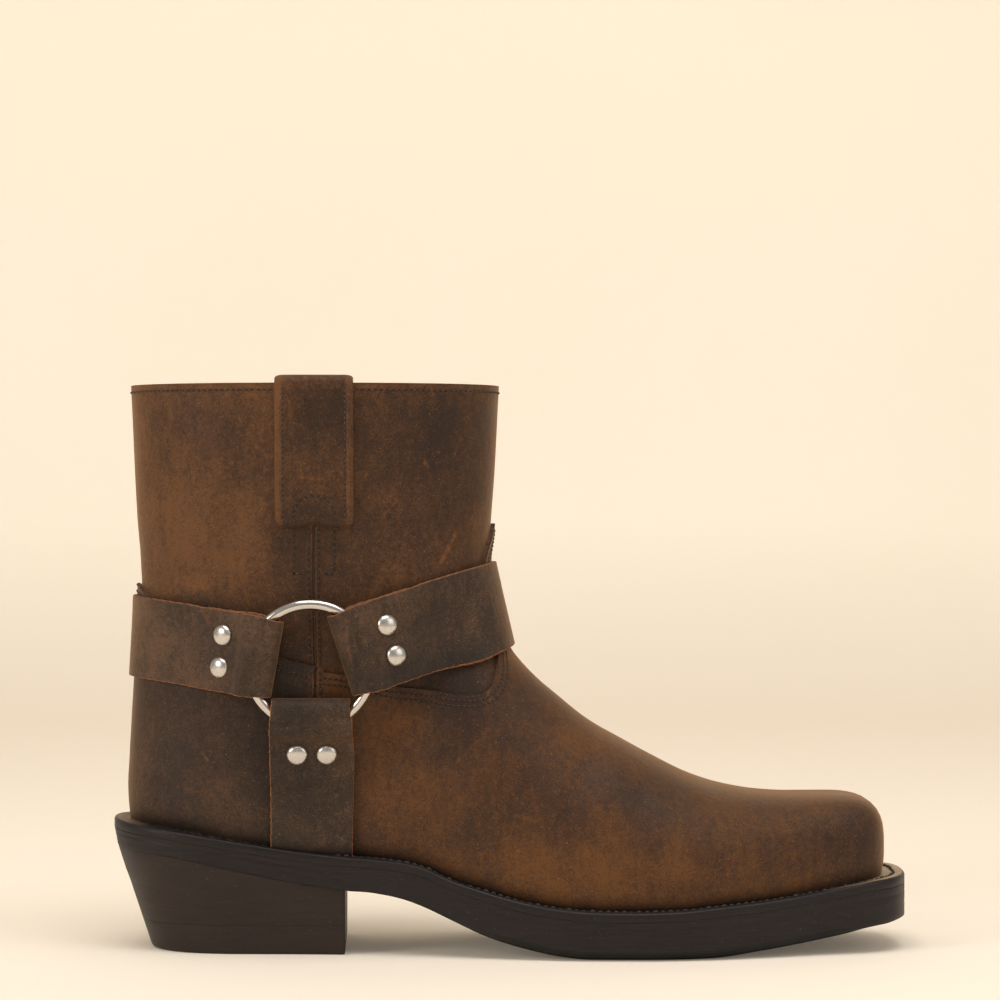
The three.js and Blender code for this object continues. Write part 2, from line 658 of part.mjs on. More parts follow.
// A solid through levels from bottom to top
function plate(levels) {
  const skin = new Skin();
  const n = levels[0].length - 1;
  const bottom = levels[0];
  const top = levels[levels.length - 1];
  for (let i = 0; i < n; i += 1) {
    skin.quad(top[i][0], top[i + 1][0], top[i + 1][1], top[i][1]);
    skin.quad(bottom[i][0], bottom[i][1], bottom[i + 1][1], bottom[i + 1][0]);
  }
  for (let k = 0; k + 1 < levels.length; k += 1) {
    const low = levels[k];
    const high = levels[k + 1];
    for (let i = 0; i < n; i += 1) {
      skin.quad(low[i][0], low[i + 1][0], high[i + 1][0], high[i][0]);
      skin.quad(low[i][1], high[i][1], high[i + 1][1], low[i + 1][1]);
    }
    skin.quad(low[0][1], low[0][0], high[0][0], high[0][1]);
    skin.quad(low[n][0], low[n][1], high[n][1], high[n][0]);
  }
  return skin.geometry();
}

const even = (inset) => ({ toe: inset, back: inset, side: inset });
const weltBottom = (x) => seatHeight(x) - WELT_THICKNESS;
const outsoleTop = (x) => weltBottom(x) - GAP;

function welt() {
  const outerTop = level(even(0), seatHeight);
  const outerBottom = level(even(0), weltBottom);
  const innerTop = level(even(WELT_WIDTH), seatHeight);
  const innerBottom = level(even(WELT_WIDTH), weltBottom);
  const skin = new Skin();
  const ring = (sheet) => [...sheet.map((row) => row[0]), ...sheet.map((row) => row[1]).reverse()];
  const [a, b, c, d] = [outerBottom, outerTop, innerTop, innerBottom].map(ring);
  const close = (list) => [...list, list[0]];
  const sheetOut = [close(b), close(a)];
  const sheetIn = [close(c), close(d)];
  skin.slab(sheetOut, sheetIn);
  return skin.geometry();
}
function outsole() {
  const roll = (share) => even(SOLE_BEVEL * share);
  const edge = (x) => underHeight(x) + SOLE_BEVEL * sole.roll(x);
  return plate([
    level(roll(1), underHeight),
    level(roll(0.3), (x) => lerp(underHeight(x), edge(x), 0.42)),
    level(roll(0), (x) => Math.min(edge(x) + 0.01, outsoleTop(x) - 1)),
    level(roll(0), outsoleTop),
  ]);
}
function insole() {
  const core = even(WELT_WIDTH + GAP);
  return plate([
    level(core, weltBottom),
    level(core, (x) => seatHeight(x) + GAP),
    featherLevel(UPPER_WALL + INSOLE_EASE, GAP),
    featherLevel(UPPER_WALL + INSOLE_EASE, GAP + INSOLE_THICKNESS),
  ]);
}

// The heel: from the outsole down, run in at the back and a little at the sides
const BREAST_X = -HALF + HEEL_LENGTH;
function heelLevel(z, height) {
  const share = 1 - z / HEEL_HEIGHT;
  const inset = {
    toe: 0,
    back: 1.5 + HEEL_UNDERCUT * share,
    side: 1 + HEEL_TAPER * share,
  };
  const places = insetStations(inset).filter((x) => x < BREAST_X - 2);
  return level(inset, height, [...places, BREAST_X]);
}
const heel = () =>
  plate([
    heelLevel(TOP_LIFT + GAP, () => TOP_LIFT + GAP),
    heelLevel((HEEL_HEIGHT + TOP_LIFT) / 2, () => (underHeight(BREAST_X) + TOP_LIFT) / 2),
    heelLevel(HEEL_HEIGHT, (x) => underHeight(x) - GAP),
  ]);
const topLift = () => plate([heelLevel(0, () => 0), heelLevel(TOP_LIFT, () => TOP_LIFT)]);

// The harness. Each strap has its two places in the boot's skin: s runs from a ring's centre
// along the strap, c across it, and a layer has its height over the upper. Near a ring the
// layers lie to each side of the ring's own upright plane, past it they settle on the upper.
const WIRE_HALF = RING_WIRE / 2;
const POCKET = WIRE_HALF + GAP; // half the space between the layers, where the wire passes
const RING_TRACK = (RING_DIAMETER - RING_WIRE) / 2; // from its centre to the middle of the wire
const OVER_PANEL = GAP + OVERLAY + STRAP_EASE; // a strap's height over the upper on a panel
// The wire crosses the strap's edges aslant, and touches the inside of the fold there.
function foldPlace(strap) {
  const edge = Math.sqrt(RING_TRACK ** 2 - (strap.fold / 2) ** 2);
  return edge - (WIRE_HALF * RING_TRACK) / edge - GAP;
}
const POCKET_END = RING_DIAMETER / 2 + GAP;
const MERGE_S = POCKET_END + 3.6;
const SETTLE_S = STRAP_TAIL + 7; // past the tail the outer layer has come down

const sideSign = { outer: -1, inner: 1 };
// A ring's plane leans with the side of the shaft and clears it by a panel and a strap's layer
function ringPlane(side) {
  const out = sideSign[side];
  const reachAt = (dx, dz) => out * onSide(RING_X + dx, RING_Z + dz, side).y;
  const slope = (reachAt(0, RING_TRACK) - reachAt(0, -RING_TRACK)) / (2 * RING_TRACK);
  const places = [-1, -0.5, 0, 0.5, 1].map((share) => share * RING_TRACK);
  const reaches = places.flatMap((dx) => places.map((dz) => reachAt(dx, dz) - slope * dz));
  const reach = Math.max(...reaches) + OVER_PANEL + STRAP_THICKNESS + POCKET;
  return {
    centre: point(RING_X, out * reach, RING_Z),
    up: point(0, out * slope, 1).normalize(),
    out: point(0, out, -slope).normalize(),
  };
}
const ringPlanes = { outer: ringPlane("outer"), inner: ringPlane("inner") };
// A place in a ring's plane: forward and up from its centre, and a level out of the plane
const inPlane = (side, forward, high, level) =>
  ringPlanes[side].centre
    .clone()
    .add(point(forward, 0, 0))
    .addScaledVector(ringPlanes[side].up, high)
    .addScaledVector(ringPlanes[side].out, level);

// How far round the boot a turn lies from the side, at the height of the straps
const GIRTH_Z = (STRAP_FRONT_Z + STRAP_BACK_Z) / 2;
const GIRTH_STEPS = 160;
function girth(direction) {
  const rows = [{ turn: 0, reach: 0 }];
  let before = around(0, GIRTH_Z);
  for (let i = 1; i <= GIRTH_STEPS; i += 1) {
    const turn = (direction * i) / (2 * GIRTH_STEPS);
    const here = around(turn, GIRTH_Z);
    rows.push({ turn, reach: rows[i - 1].reach + here.distanceTo(before) });
    before = here;
  }
  const half = rows[GIRTH_STEPS / 2].reach;
  return { turnAt: line(rows, "reach", "turn"), half, whole: rows[GIRTH_STEPS].reach };
}

// A strap's place in the skin around the boot: its height curves from the rings to its middle
function bandPath(strap, direction, middleZ, steepness) {
  const path = girth(direction);
  const rise = middleZ - RING_Z;
  const steep = (steepness * path.half) / rise;
  const cubic = steep - 2;
  const square = 3 - 2 * steep;
  const heightAt = (reach) => {
    const u = reach / path.half;
    const v = u > 1 ? (path.whole - reach) / (path.whole - path.half) : u;
    return RING_Z + rise * (steep * v + square * v * v + cubic * v * v * v);
  };
  const skin = (s, c) => {
    const slope = Math.atan((heightAt(s + 0.5) - heightAt(s - 0.5)) / 1);
    const reach = s - c * Math.sin(slope);
    return around(path.turnAt(clamp(reach, 0, path.whole)), heightAt(s) + c * Math.cos(slope));
  };
  const tilt = Math.atan(steepness);
  const flat = (side, s, c, level) => {
    const forward = direction * (s * Math.cos(tilt) - c * Math.sin(tilt));
    return inPlane(side, forward, s * Math.sin(tilt) + c * Math.cos(tilt), level);
  };
  return { strap, skin, flat, whole: path.whole, half: path.half };
}

// How far the layers have left the ring's plane for the upper, and half the pocket between them
const settled = (strap, s) => smoothstep(s, POCKET_END - 3, strap.settleEnd);
const pocketAt = (s) => (s >= MERGE_S ? 0 : POCKET * (1 - smoothstep(s, POCKET_END, MERGE_S)));
const tailLift = (s) => STRAP_THICKNESS * (1 - smoothstep(s, STRAP_TAIL, SETTLE_S));

// A point of a layer: level is its height from the middle of the pocket
function strapPoint(path, side, near, c, level, lift) {
  const s = side === "outer" ? near : path.whole - near;
  const onSkin = raise(path.skin(s, c), lift + tailLift(near) + level);
  return path.flat(side, near, c, level).lerp(onSkin, settled(path.strap, near));
}

// Places along a strap's end, from its tail back to the fold
const endPlaces = (strap) => [
  STRAP_TAIL,
  (STRAP_TAIL + MERGE_S) / 2,
  MERGE_S,
  POCKET_END,
  POCKET_END - 5,
  foldPlace(strap) + POCKET,
];
const FOLD_TURNS = [0.25, 0.5, 0.75];

// The sheets of a folded end: tail, round the fold, then the outer layer out again
function foldedEnd(strap, make) {
  const outer = [];
  const inner = [];
  const places = endPlaces(strap);
  places.forEach((s) => {
    outer.push(make(s, -pocketAt(s) - STRAP_THICKNESS));
    inner.push(make(s, -pocketAt(s)));
  });
  FOLD_TURNS.forEach((turn) => {
    const angle = Math.PI * (turn - 0.5);
    const centre = foldPlace(strap) + POCKET;
    const radius = POCKET + STRAP_THICKNESS;
    outer.push(make(centre - radius * Math.cos(angle), radius * Math.sin(angle)));
    inner.push(make(centre - POCKET * Math.cos(angle), POCKET * Math.sin(angle)));
  });
  [...places].reverse().forEach((s) => {
    outer.push(make(s, pocketAt(s) + STRAP_THICKNESS));
    inner.push(make(s, pocketAt(s)));
  });
  return { outer, inner };
}
const ACROSS = 3;
const strapWidth = (strap, near) =>
  lerp(strap.fold, strap.width, smoothstep(near, foldPlace(strap), RING_TRACK));
const acrossStrap = (strap, near, make) =>
  Array.from({ length: ACROSS + 1 }, (_, i) => make(strapWidth(strap, near) * (i / ACROSS - 0.5)));
// In the hollow over the instep a strap goes straight across between its edges
function straighten(row, share) {
  const [first, last] = [row[0], row[ACROSS]];
  return row.map((p, i) => p.lerp(first.clone().lerp(last, i / ACROSS), share));
}

function band(path, liftAt, straightAt, pieces) {
  const row = (side) => (near, level) => {
    const s = side === "outer" ? near : path.whole - near;
    const make = (c) => strapPoint(path, side, near, c, level, liftAt(s));
    return straighten(acrossStrap(path.strap, near, make), straightAt(s));
  };
  const first = foldedEnd(path.strap, row("outer"));
  const last = foldedEnd(path.strap, row("inner"));
  const from = STRAP_TAIL + 3.5;
  const middles = Array.from({ length: pieces + 1 }, (_, i) => lerp(from, path.whole - from, i / pieces));
  const middle = (level) =>
    middles.map((s) => row(s < path.half ? "outer" : "inner")(Math.min(s, path.whole - s), level));
  return new Skin()
    .slab(
      [...first.outer, ...middle(STRAP_THICKNESS), ...last.outer.reverse()],
      [...first.inner, ...middle(0), ...last.inner.reverse()],
    )
    .geometry();
}

const FRONT = bandPath(STRAPS.front, 1, STRAP_FRONT_Z, 0.32);
const BACK = bandPath(STRAPS.back, -1, STRAP_BACK_Z, 0.18);
const TONGUE_REACH = 30; // from the middle of the front strap, where it climbs on to the tongue
const frontLift = (s) =>
  lerp(OVER_PANEL, STRAP_EASE, smoothstep(Math.abs(s - FRONT.half), TONGUE_REACH - 9, TONGUE_REACH));
const frontStraight = (s) => 1 - smoothstep(Math.abs(s - FRONT.half), 0.5 * TONGUE_REACH, TONGUE_REACH);
const backLift = () => OVER_PANEL;
const backStraight = () => 0;

// The down strap runs from the ring to the welt over the seam of the panels
function downPath(side) {
  const seat = (c) => seatHeight(RING_X + c);
  const skin = (s, c) => onSide(RING_X + c, Math.max(RING_Z - s, seat(c)), side);
  const flat = (_, s, c, level) => inPlane(side, c, -s, level);
  return { strap: STRAPS.down, skin, flat, whole: 2 * RING_Z };
}
// Heights over the welt of its lowest places
const DOWN_ROWS = [24, BELLY_HEIGHT * 1.2, BELLY_HEIGHT / 2, 0];
function downStrap(side) {
  const path = downPath(side);
  // the path's skin counts from the outer ring, so both sides are asked for as the outer one
  const place = (near, c, level) => {
    const onSkin = raise(path.skin(near, c), OVER_PANEL + tailLift(near) + level);
    return path.flat(side, near, c, level).lerp(onSkin, settled(path.strap, near));
  };
  const across = (near, make) => acrossStrap(path.strap, near, make);
  const end = foldedEnd(path.strap, (near, level) => across(near, (c) => place(near, c, level)));
  const low = (height, level) =>
    across(SETTLE_S, (c) => {
      const p = place(RING_Z - seatHeight(RING_X + c) - height, c, level);
      return height === 0 ? p.setZ(seatHeight(p.x) + GAP) : p;
    });
  const settle = (level) => across(SETTLE_S, (c) => place(SETTLE_S - 2, c, level));
  return new Skin()
    .slab(
      [...end.outer, settle(STRAP_THICKNESS), ...DOWN_ROWS.map((h) => low(h, STRAP_THICKNESS))],
      [...end.inner, settle(0), ...DOWN_ROWS.map((h) => low(h, 0))],
    )
    .geometry();
}

// Rivets: a domed cap on the outer layer
function rivetGeometry() {
  const radius = RIVET_DIAMETER / 2;
  const profile = [
    [0, 0],
    [radius, RIVET_DOME * 0.2],
    [radius * 0.7, RIVET_DOME * 0.8],
    [0, RIVET_DOME],
  ].map(([x, y]) => new THREE.Vector2(x, y));
  return new THREE.LatheGeometry(profile, 10);
}
function rivetPlace(make) {
  const at = make(0, 0);
  const along = make(0.5, 0).sub(at);
  const across = make(0, 0.5).sub(at);
  return { at, out: along.cross(across).normalize() };
}
function rivetMesh(name, side, make) {
  const { at, out } = rivetPlace(make);
  if (out.y * sideSign[side] < 0) out.negate();
  const mesh = metal(name, rivetGeometry(), 0xc9c7c2);
  mesh.quaternion.setFromUnitVectors(point(0, 1, 0), out);
  mesh.position.copy(at).addScaledVector(out, STRAP_EASE);
  return mesh;
}

// The pull strap hangs over the collar, on the outside and the inside of the shaft
function pullStrap(side) {
  const corner = 4;
  const half = PULL_WIDTH / 2;
  const columns = [-1, -0.5, 0, 0.5, 1];
  const skin = (x, z) => onSide(x, z, side);
  const bend = UPPER_WALL / 2 + STRAP_EASE;
  const turnZ = COLLAR_HEIGHT - STRAP_EASE;
  const outer = [];
  const inner = [];
  const add = (z, narrow, near, far) => {
    outer.push(columns.map((c) => raise(skin(PULL_X + c * (half - narrow), z), far)));
    inner.push(columns.map((c) => raise(skin(PULL_X + c * (half - narrow), z), near)));
  };
  const outside = [
    [PULL_BOTTOM, corner],
    [PULL_BOTTOM + corner * 0.3, corner * 0.3],
    [PULL_BOTTOM + corner, 0],
    [lerp(PULL_BOTTOM, turnZ, 0.35), 0],
    [lerp(PULL_BOTTOM, turnZ, 0.65), 0],
    [turnZ - 4, 0],
  ];
  outside.forEach(([z, narrow]) => add(z, narrow, STRAP_EASE, STRAP_EASE + PULL_THICKNESS));
  [0, 0.25, 0.5, 0.75, 1].forEach((turn) => {
    const angle = Math.PI * turn;
    const swing = (radius) =>
      columns.map((c) => {
        const p = raise(skin(PULL_X + c * half, turnZ), radius * Math.cos(angle) - UPPER_WALL / 2);
        return p.setZ(turnZ + radius * Math.sin(angle));
      });
    outer.push(swing(bend + PULL_THICKNESS));
    inner.push(swing(bend));
  });
  const depth = UPPER_WALL + STRAP_EASE;
  [turnZ - 4, lerp(turnZ, PULL_INSIDE, 0.5), PULL_INSIDE].forEach((z) =>
    add(z, 0, -depth, -depth - PULL_THICKNESS),
  );
  return new Skin().slab(outer, inner).geometry();
}

const RING_SIDES = 7;
const RING_STEPS = 28;
function ring(side) {
  const wire = new THREE.TorusGeometry(RING_TRACK, WIRE_HALF, RING_SIDES, RING_STEPS);
  const mesh = metal("ring_" + side, wire, 0xb9b8b6);
  mesh.quaternion.setFromUnitVectors(point(0, 0, 1), ringPlanes[side].out);
  mesh.position.copy(ringPlanes[side].centre);
  return mesh;
}

function meshOf(name, geometry, color, roughness, metalness) {
  const material = new THREE.MeshStandardMaterial({ color, roughness, metalness });
  const mesh = new THREE.Mesh(geometry, material);
  mesh.name = name;
  return mesh;
}
const leather = (name, geometry, color) => meshOf(name, geometry, color, 0.75, 0);
const metal = (name, geometry, color) => meshOf(name, geometry, color, 0.25, 1);

const boot = new THREE.Group();
boot.add(leather("upper", upper(), 0x6f4a30));
boot.add(leather("vamp", vamp(), 0x7a4f31));
boot.add(leather("heel_counter", counter(), 0x5f4534));
boot.add(leather("insole", insole(), 0xa9835a));
boot.add(leather("welt", welt(), 0x2a211d));
boot.add(leather("outsole", outsole(), 0x241c19));
boot.add(leather("heel_block", heel(), 0x211a17));
boot.add(leather("top_lift", topLift(), 0x191513));
boot.add(leather("front_strap", band(FRONT, frontLift, frontStraight, 18), 0x5c4638));
boot.add(leather("back_strap", band(BACK, backLift, backStraight, 18), 0x5c4638));
for (const side of ["outer", "inner"]) {
  boot.add(leather("down_strap_" + side, downStrap(side), 0x5c4638));
  boot.add(leather("pull_strap_" + side, pullStrap(side), 0x5f4a3c));
  boot.add(ring(side));
  for (const [number, share] of [
    [1, 0.5],
    [2, -0.5],
  ]) {
    for (const [name, path, lift] of [
      ["front", FRONT, frontLift],
      ["back", BACK, backLift],
    ]) {
      const { rivetReach, rivetPitch } = path.strap;
      const make = (ds, dc) => {
        const c = share * rivetPitch + dc;
        return strapPoint(path, side, rivetReach + ds, c, STRAP_THICKNESS, lift(rivetReach));
      };
      boot.add(rivetMesh(`rivet_${name}_${side}_${number}`, side, make));
    }
    const down = downPath(side);
    const { rivetReach, rivetPitch } = down.strap;
    const make = (ds, dc) => {
      const [s, c] = [rivetReach + ds, share * rivetPitch + dc];
      const onSkin = raise(down.skin(s, c), OVER_PANEL + 2 * STRAP_THICKNESS);
      return down.flat(side, s, c, STRAP_THICKNESS).lerp(onSkin, settled(down.strap, s));
    };
    boot.add(rivetMesh(`rivet_down_${side}_${number}`, side, make));
  }
}
export default boot;
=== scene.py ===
"""Looks of the right harness boot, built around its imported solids.

Every shape is worked out in millimetres: +X to the toe, -Y the outer side, +Z up. The upper's form
is a field, below zero inside, and leather lies on it: a panel, strap or stitch is a place on the
form, raised along the form's normal. mesh_piece() turns millimetres into metres.
"""

import math

import bpy
import numpy as np
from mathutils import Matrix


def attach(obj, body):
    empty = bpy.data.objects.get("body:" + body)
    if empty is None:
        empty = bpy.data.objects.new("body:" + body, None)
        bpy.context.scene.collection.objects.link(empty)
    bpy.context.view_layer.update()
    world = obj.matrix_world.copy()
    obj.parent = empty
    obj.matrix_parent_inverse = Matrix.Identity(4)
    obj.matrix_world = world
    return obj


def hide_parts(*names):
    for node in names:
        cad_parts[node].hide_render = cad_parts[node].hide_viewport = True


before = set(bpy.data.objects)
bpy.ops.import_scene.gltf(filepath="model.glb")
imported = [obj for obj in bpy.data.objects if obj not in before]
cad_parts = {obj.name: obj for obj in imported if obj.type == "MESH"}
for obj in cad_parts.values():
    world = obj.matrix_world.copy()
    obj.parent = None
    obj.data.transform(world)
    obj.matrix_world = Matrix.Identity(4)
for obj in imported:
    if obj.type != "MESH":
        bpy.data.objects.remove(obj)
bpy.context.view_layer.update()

MM = 0.001

# Driving sizes of the sole
SOLE_LENGTH = 304
HALF = SOLE_LENGTH / 2
BALL_WIDTH = 106
SEAT_HEIGHT = 50  # top of the welt at the back
BALL_THICKNESS = 18  # welt and outsole together under the ball
HEEL_HEIGHT = 39.5  # underside of the outsole at the back
TOE_SPRING = 12.6
WELT_THICKNESS = 3.7
WELT_WIDTH = 13
SOLE_BEVEL = 3.6  # height of the chamfer along the outsole's lower edge
CHAMFER_REACH = 6  # how far the chamfer runs in
BACK_SLANT = 1.3  # how far the outsole's back runs in downward
HEEL_LENGTH = 89.6  # from the back of the outsole to the breast
HEEL_UNDERCUT = 13  # how far the back of the heel runs in
HEEL_TAPER = 3  # how far each side of the heel runs in
TOP_LIFT = 11  # thickness of the heel's walking layer
TOE_ROUND = 30  # length over which the square toe's corners turn
TOE_POWER = 3.2
HEEL_ROUND = 38
HEEL_POWER = 2.35
# The heel's breast, from its place to where it meets each side
BREAST_TURN = {"outer": 0.6, "inner": -1.4}

# Driving sizes of the upper
COLLAR_HEIGHT = 215
COLLAR_LENGTH = 141.8
COLLAR_WIDTH = 90
COLLAR_BACK = -145.8
INSTEP_HEIGHT = 137
TOE_HEIGHT = 56.6
BELLY_HEIGHT = 9  # from the welt to the widest level of the foot
WALL = 2
OVERLAY = 1.4  # leather of the vamp and of the counter
MARGIN_SIDE = 6  # the welt stands out past the upper by this much
MARGIN_TOE = 9.8
MARGIN_BACK = 12
TOE_BOX_ROUND = 22
FEATHER_TUCK = 1.8  # the wall runs in by this much from its widest level to the welt
BLEND = 7  # the shaft runs into the foot over this much
TONGUE_PEAK = 162.3
TONGUE_WIDTH = 35
COUNTER_PEAK = 139.4
PANEL_SEAM = -73  # the vamp and the counter meet here, under the down strap

# Driving sizes of the harness and the pull straps
STRAP_THICKNESS = 2.3
# Each strap: its width, its width at the fold round the ring, how far its rivets are from the
# ring's centre and from each other, and where it has settled on the upper
STRAPS = {
    "front": {"width": 33.2, "fold": 31.3, "rivets": 31.2, "pitch": 12, "settle": 48},
    "back": {"width": 31, "fold": 29.2, "rivets": 33, "pitch": 12.4, "settle": 36},
    "down": {"width": 31, "fold": 29.6, "rivets": 33, "pitch": 10.7, "settle": 36},
}
RING_DIAMETER = 50
RING_WIRE = 4.1
RING_X = -74.3
RING_Z = 109.4
RIVET_DIAMETER = 8
RIVET_DOME = 2
STRAP_TAIL = 40  # from a ring's centre to the end of the tail under the strap
STRAP_FRONT_Z = 131
STRAP_BACK_Z = 119.3
PULL_WIDTH = 29.4
PULL_THICKNESS = 2.4
PULL_BOTTOM = 160.8
PULL_INSIDE = 176  # lower end of the pull strap inside the shaft
PULL_X = -73.1
PULL_CORNER = 4.0
GAP = 0.3  # between pieces that touch
STRAP_EASE = 0.65  # under a strap, which lies over curved pieces

SIDE_SIGN = {"outer": -1, "inner": 1}


def table(names, rows):
    """Named columns from a short table of rows."""
    return dict(zip(names.split(), np.array(rows, float).T))


# The sole's outline from above. at: share of the sole's length from its middle; outer, inner:
# its half widths as shares of the ball's width
OUTLINE = table(
    "at outer inner",
    [
        (-0.5, 0.333, 0.317),
        (-0.39, 0.336, 0.318),
        (-0.29, 0.339, 0.311),
        (-0.2, 0.352, 0.3),
        (-0.1, 0.4, 0.31),
        (0, 0.457, 0.37),
        (0.09, 0.494, 0.447),
        (0.17, 0.5, 0.494),
        (0.23, 0.48, 0.5),
        (0.31, 0.42, 0.468),
        (0.4, 0.335, 0.395),
        (0.5, 0.27, 0.345),
    ],
)
# The sole from the side. at: as above; seat, lift: shares of the heel's rise and of the toe spring
# in the welt's top; under, tip: the same in the underside; roll: share of the chamfer's height
SOLE_LINE = table(
    "at seat lift under tip roll",
    [
        (-0.5, 1, 0, 1, 0, 0),
        (-0.41, 0.885, 0, 0.92, 0, 0),
        (-0.35, 0.79, 0, 0.825, 0, 0),
        (-0.27, 0.672, 0, 0.7, 0, 0),
        (-0.2, 0.6, 0, 0.625, 0, 0),
        (-0.165, 0.578, 0, 0.592, 0, 0.1),
        (-0.13, 0.542, 0, 0.53, 0, 0.25),
        (-0.105, 0.484, 0, 0.462, 0, 0.4),
        (-0.07, 0.344, 0, 0.34, 0, 0.64),
        (-0.025, 0.212, 0, 0.19, 0, 0.8),
        (0.02, 0.103, 0, 0.09, 0, 0.97),
        (0.066, 0.034, 0, 0.022, 0, 1),
        (0.1, 0.008, 0, 0, 0, 1),
        (0.15, 0, 0, 0, 0, 1),
        (0.21, 0, 0.032, 0, 0, 1),
        (0.25, 0, 0.12, 0, 0.02, 1),
        (0.313, 0, 0.25, 0, 0.19, 1),
        (0.365, 0, 0.405, 0, 0.365, 1),
        (0.418, 0, 0.61, 0, 0.587, 1),
        (0.457, 0, 0.755, 0, 0.79, 0.9),
        (0.5, 0, 0.857, 0, 1, 0.6),
    ],
)
# The foot. at: as above; top: share of the way from the toe box's height up to the instep's;
# power: how square the section is; pinch: share of its width
FOOT = table(
    "at top power pinch",
    [
        (-0.48, 0.3, 2.2, 0.9),
        (-0.2, 0.95, 2.1, 0.94),
        (-0.1, 0.98, 2, 0.98),
        (-0.05, 0.93, 1.95, 1),
        (-0.018, 0.79, 1.95, 1),
        (0.001, 0.685, 1.95, 1),
        (0.036, 0.54, 1.98, 1),
        (0.061, 0.46, 2, 1),
        (0.098, 0.353, 2.05, 1),
        (0.135, 0.272, 2.15, 1),
        (0.176, 0.187, 2.25, 1),
        (0.227, 0.092, 2.4, 1),
        (0.27, 0.04, 2.55, 1),
        (0.313, 0.012, 2.75, 1),
        (0.36, 0, 3.15, 1),
        (0.48, 0, 3.8, 1),
    ],
)
# The shaft and the heel. up: share of the collar's height; front, back: shares of the collar's
# length, from its back; outer, inner: shares of its width; power: how square the section is
SHAFT = table(
    "up front back outer inner power",
    [
        (0.16, 0.7, 0.022, 0.335, 0.315, 2.35),
        (0.235, 0.74, 0.016, 0.353, 0.336, 2.3),
        (0.33, 0.83, 0.007, 0.374, 0.36, 2.25),
        (0.4, 0.88, 0.012, 0.386, 0.376, 2.2),
        (0.473, 0.93, 0.019, 0.4, 0.392, 2.2),
        (0.54, 0.965, 0.024, 0.413, 0.408, 2.2),
        (0.61, 0.974, 0.027, 0.427, 0.423, 2.2),
        (0.685, 0.968, 0.026, 0.443, 0.44, 2.2),
        (0.76, 0.978, 0.018, 0.458, 0.456, 2.2),
        (0.86, 0.99, 0.01, 0.478, 0.477, 2.2),
        (1, 1, 0, 0.5, 0.5, 2.2),
    ],
)
# Upper edges of the vamp and of the counter from the side. at: as above; up: share of the
# height of the tongue's or of the counter's peak
VAMP_EDGE = table(
    "at up",
    [
        (-0.24, 0.66),
        (-0.202, 0.651),
        (-0.139, 0.622),
        (-0.102, 0.613),
        (-0.067, 0.602),
        (-0.046, 0.6),
        (-0.0382, 0.6014),
        (-0.0309, 0.6063),
        (-0.026, 0.6137),
        (-0.0217, 0.6254),
    ],
)
COUNTER_EDGE = table(
    "at up",
    [(-0.47, 1), (-0.452, 0.974), (-0.41, 0.9), (-0.35, 0.838), (-0.288, 0.805), (-0.24, 0.78)],
)
# The tongue. up: share of the way from its root to its peak; half: share of half its width
TONGUE = table(
    "up half",
    [(0, 1), (0.3, 0.93), (0.6, 0.8), (0.8, 0.62), (0.92, 0.32), (1, 0.04)],
)
# Places of the tongue's edge low on the side, above its turn out of the wing
TONGUE_TURN = table("z x", [(101.5, -6.6), (104.1, -5.7), (109.1, -5), (112.7, -5.7), (118, -6.6)])
# How the upper's sections lean, from the toe box to the back seam
BACK_LEAN = 34
LEAN = table("at lean", [(0, 90), (0.25, 88), (0.45, 72), (0.7, 52), (0.85, 42), (1, BACK_LEAN)])

# Height of the slow unevenness of all the leather
SWELL = 0.12
# Soft troughs (below zero) and ridges in the leather, seen from the side. x, z: middle; turn:
# direction of its length from +X in degrees; long, wide: reach along and across it; high: height
# out of the leather; side: -1 outer, 1 inner, 0 both.
CREASES = table(
    "x z turn long wide high side",
    [
        (26, 66, 62, 15, 5, -0.4, 0),
        (36, 60, 60, 14, 6, 0.3, 0),
        (47, 52, 66, 13, 5, -0.35, 0),
        (56, 50, 80, 13, 8, -0.35, -1),
        (6, 86, 50, 20, 8, 0.35, 0),
        (-16, 78, 40, 22, 9, -0.3, 0),
        (-119, 158, 72, 30, 9, 0.6, -1),
        (-104, 166, 78, 32, 10, -0.5, -1),
        (-30, 178, 95, 30, 11, -0.45, -1),
        (-18, 150, 60, 16, 7, 0.4, -1),
        (-128, 142, 10, 20, 5, -0.4, 0),
        (-40, 140, 20, 22, 6, 0.3, -1),
        (-112, 78, 84, 26, 10, 0.3, 0),
        (-112, 168, 98, 34, 10, -0.5, 1),
        (-34, 166, 84, 34, 11, 0.5, 1),
        (-60, 70, 70, 20, 9, -0.25, 0),
        (96, 44, 70, 16, 9, -0.2, 0),
    ],
)
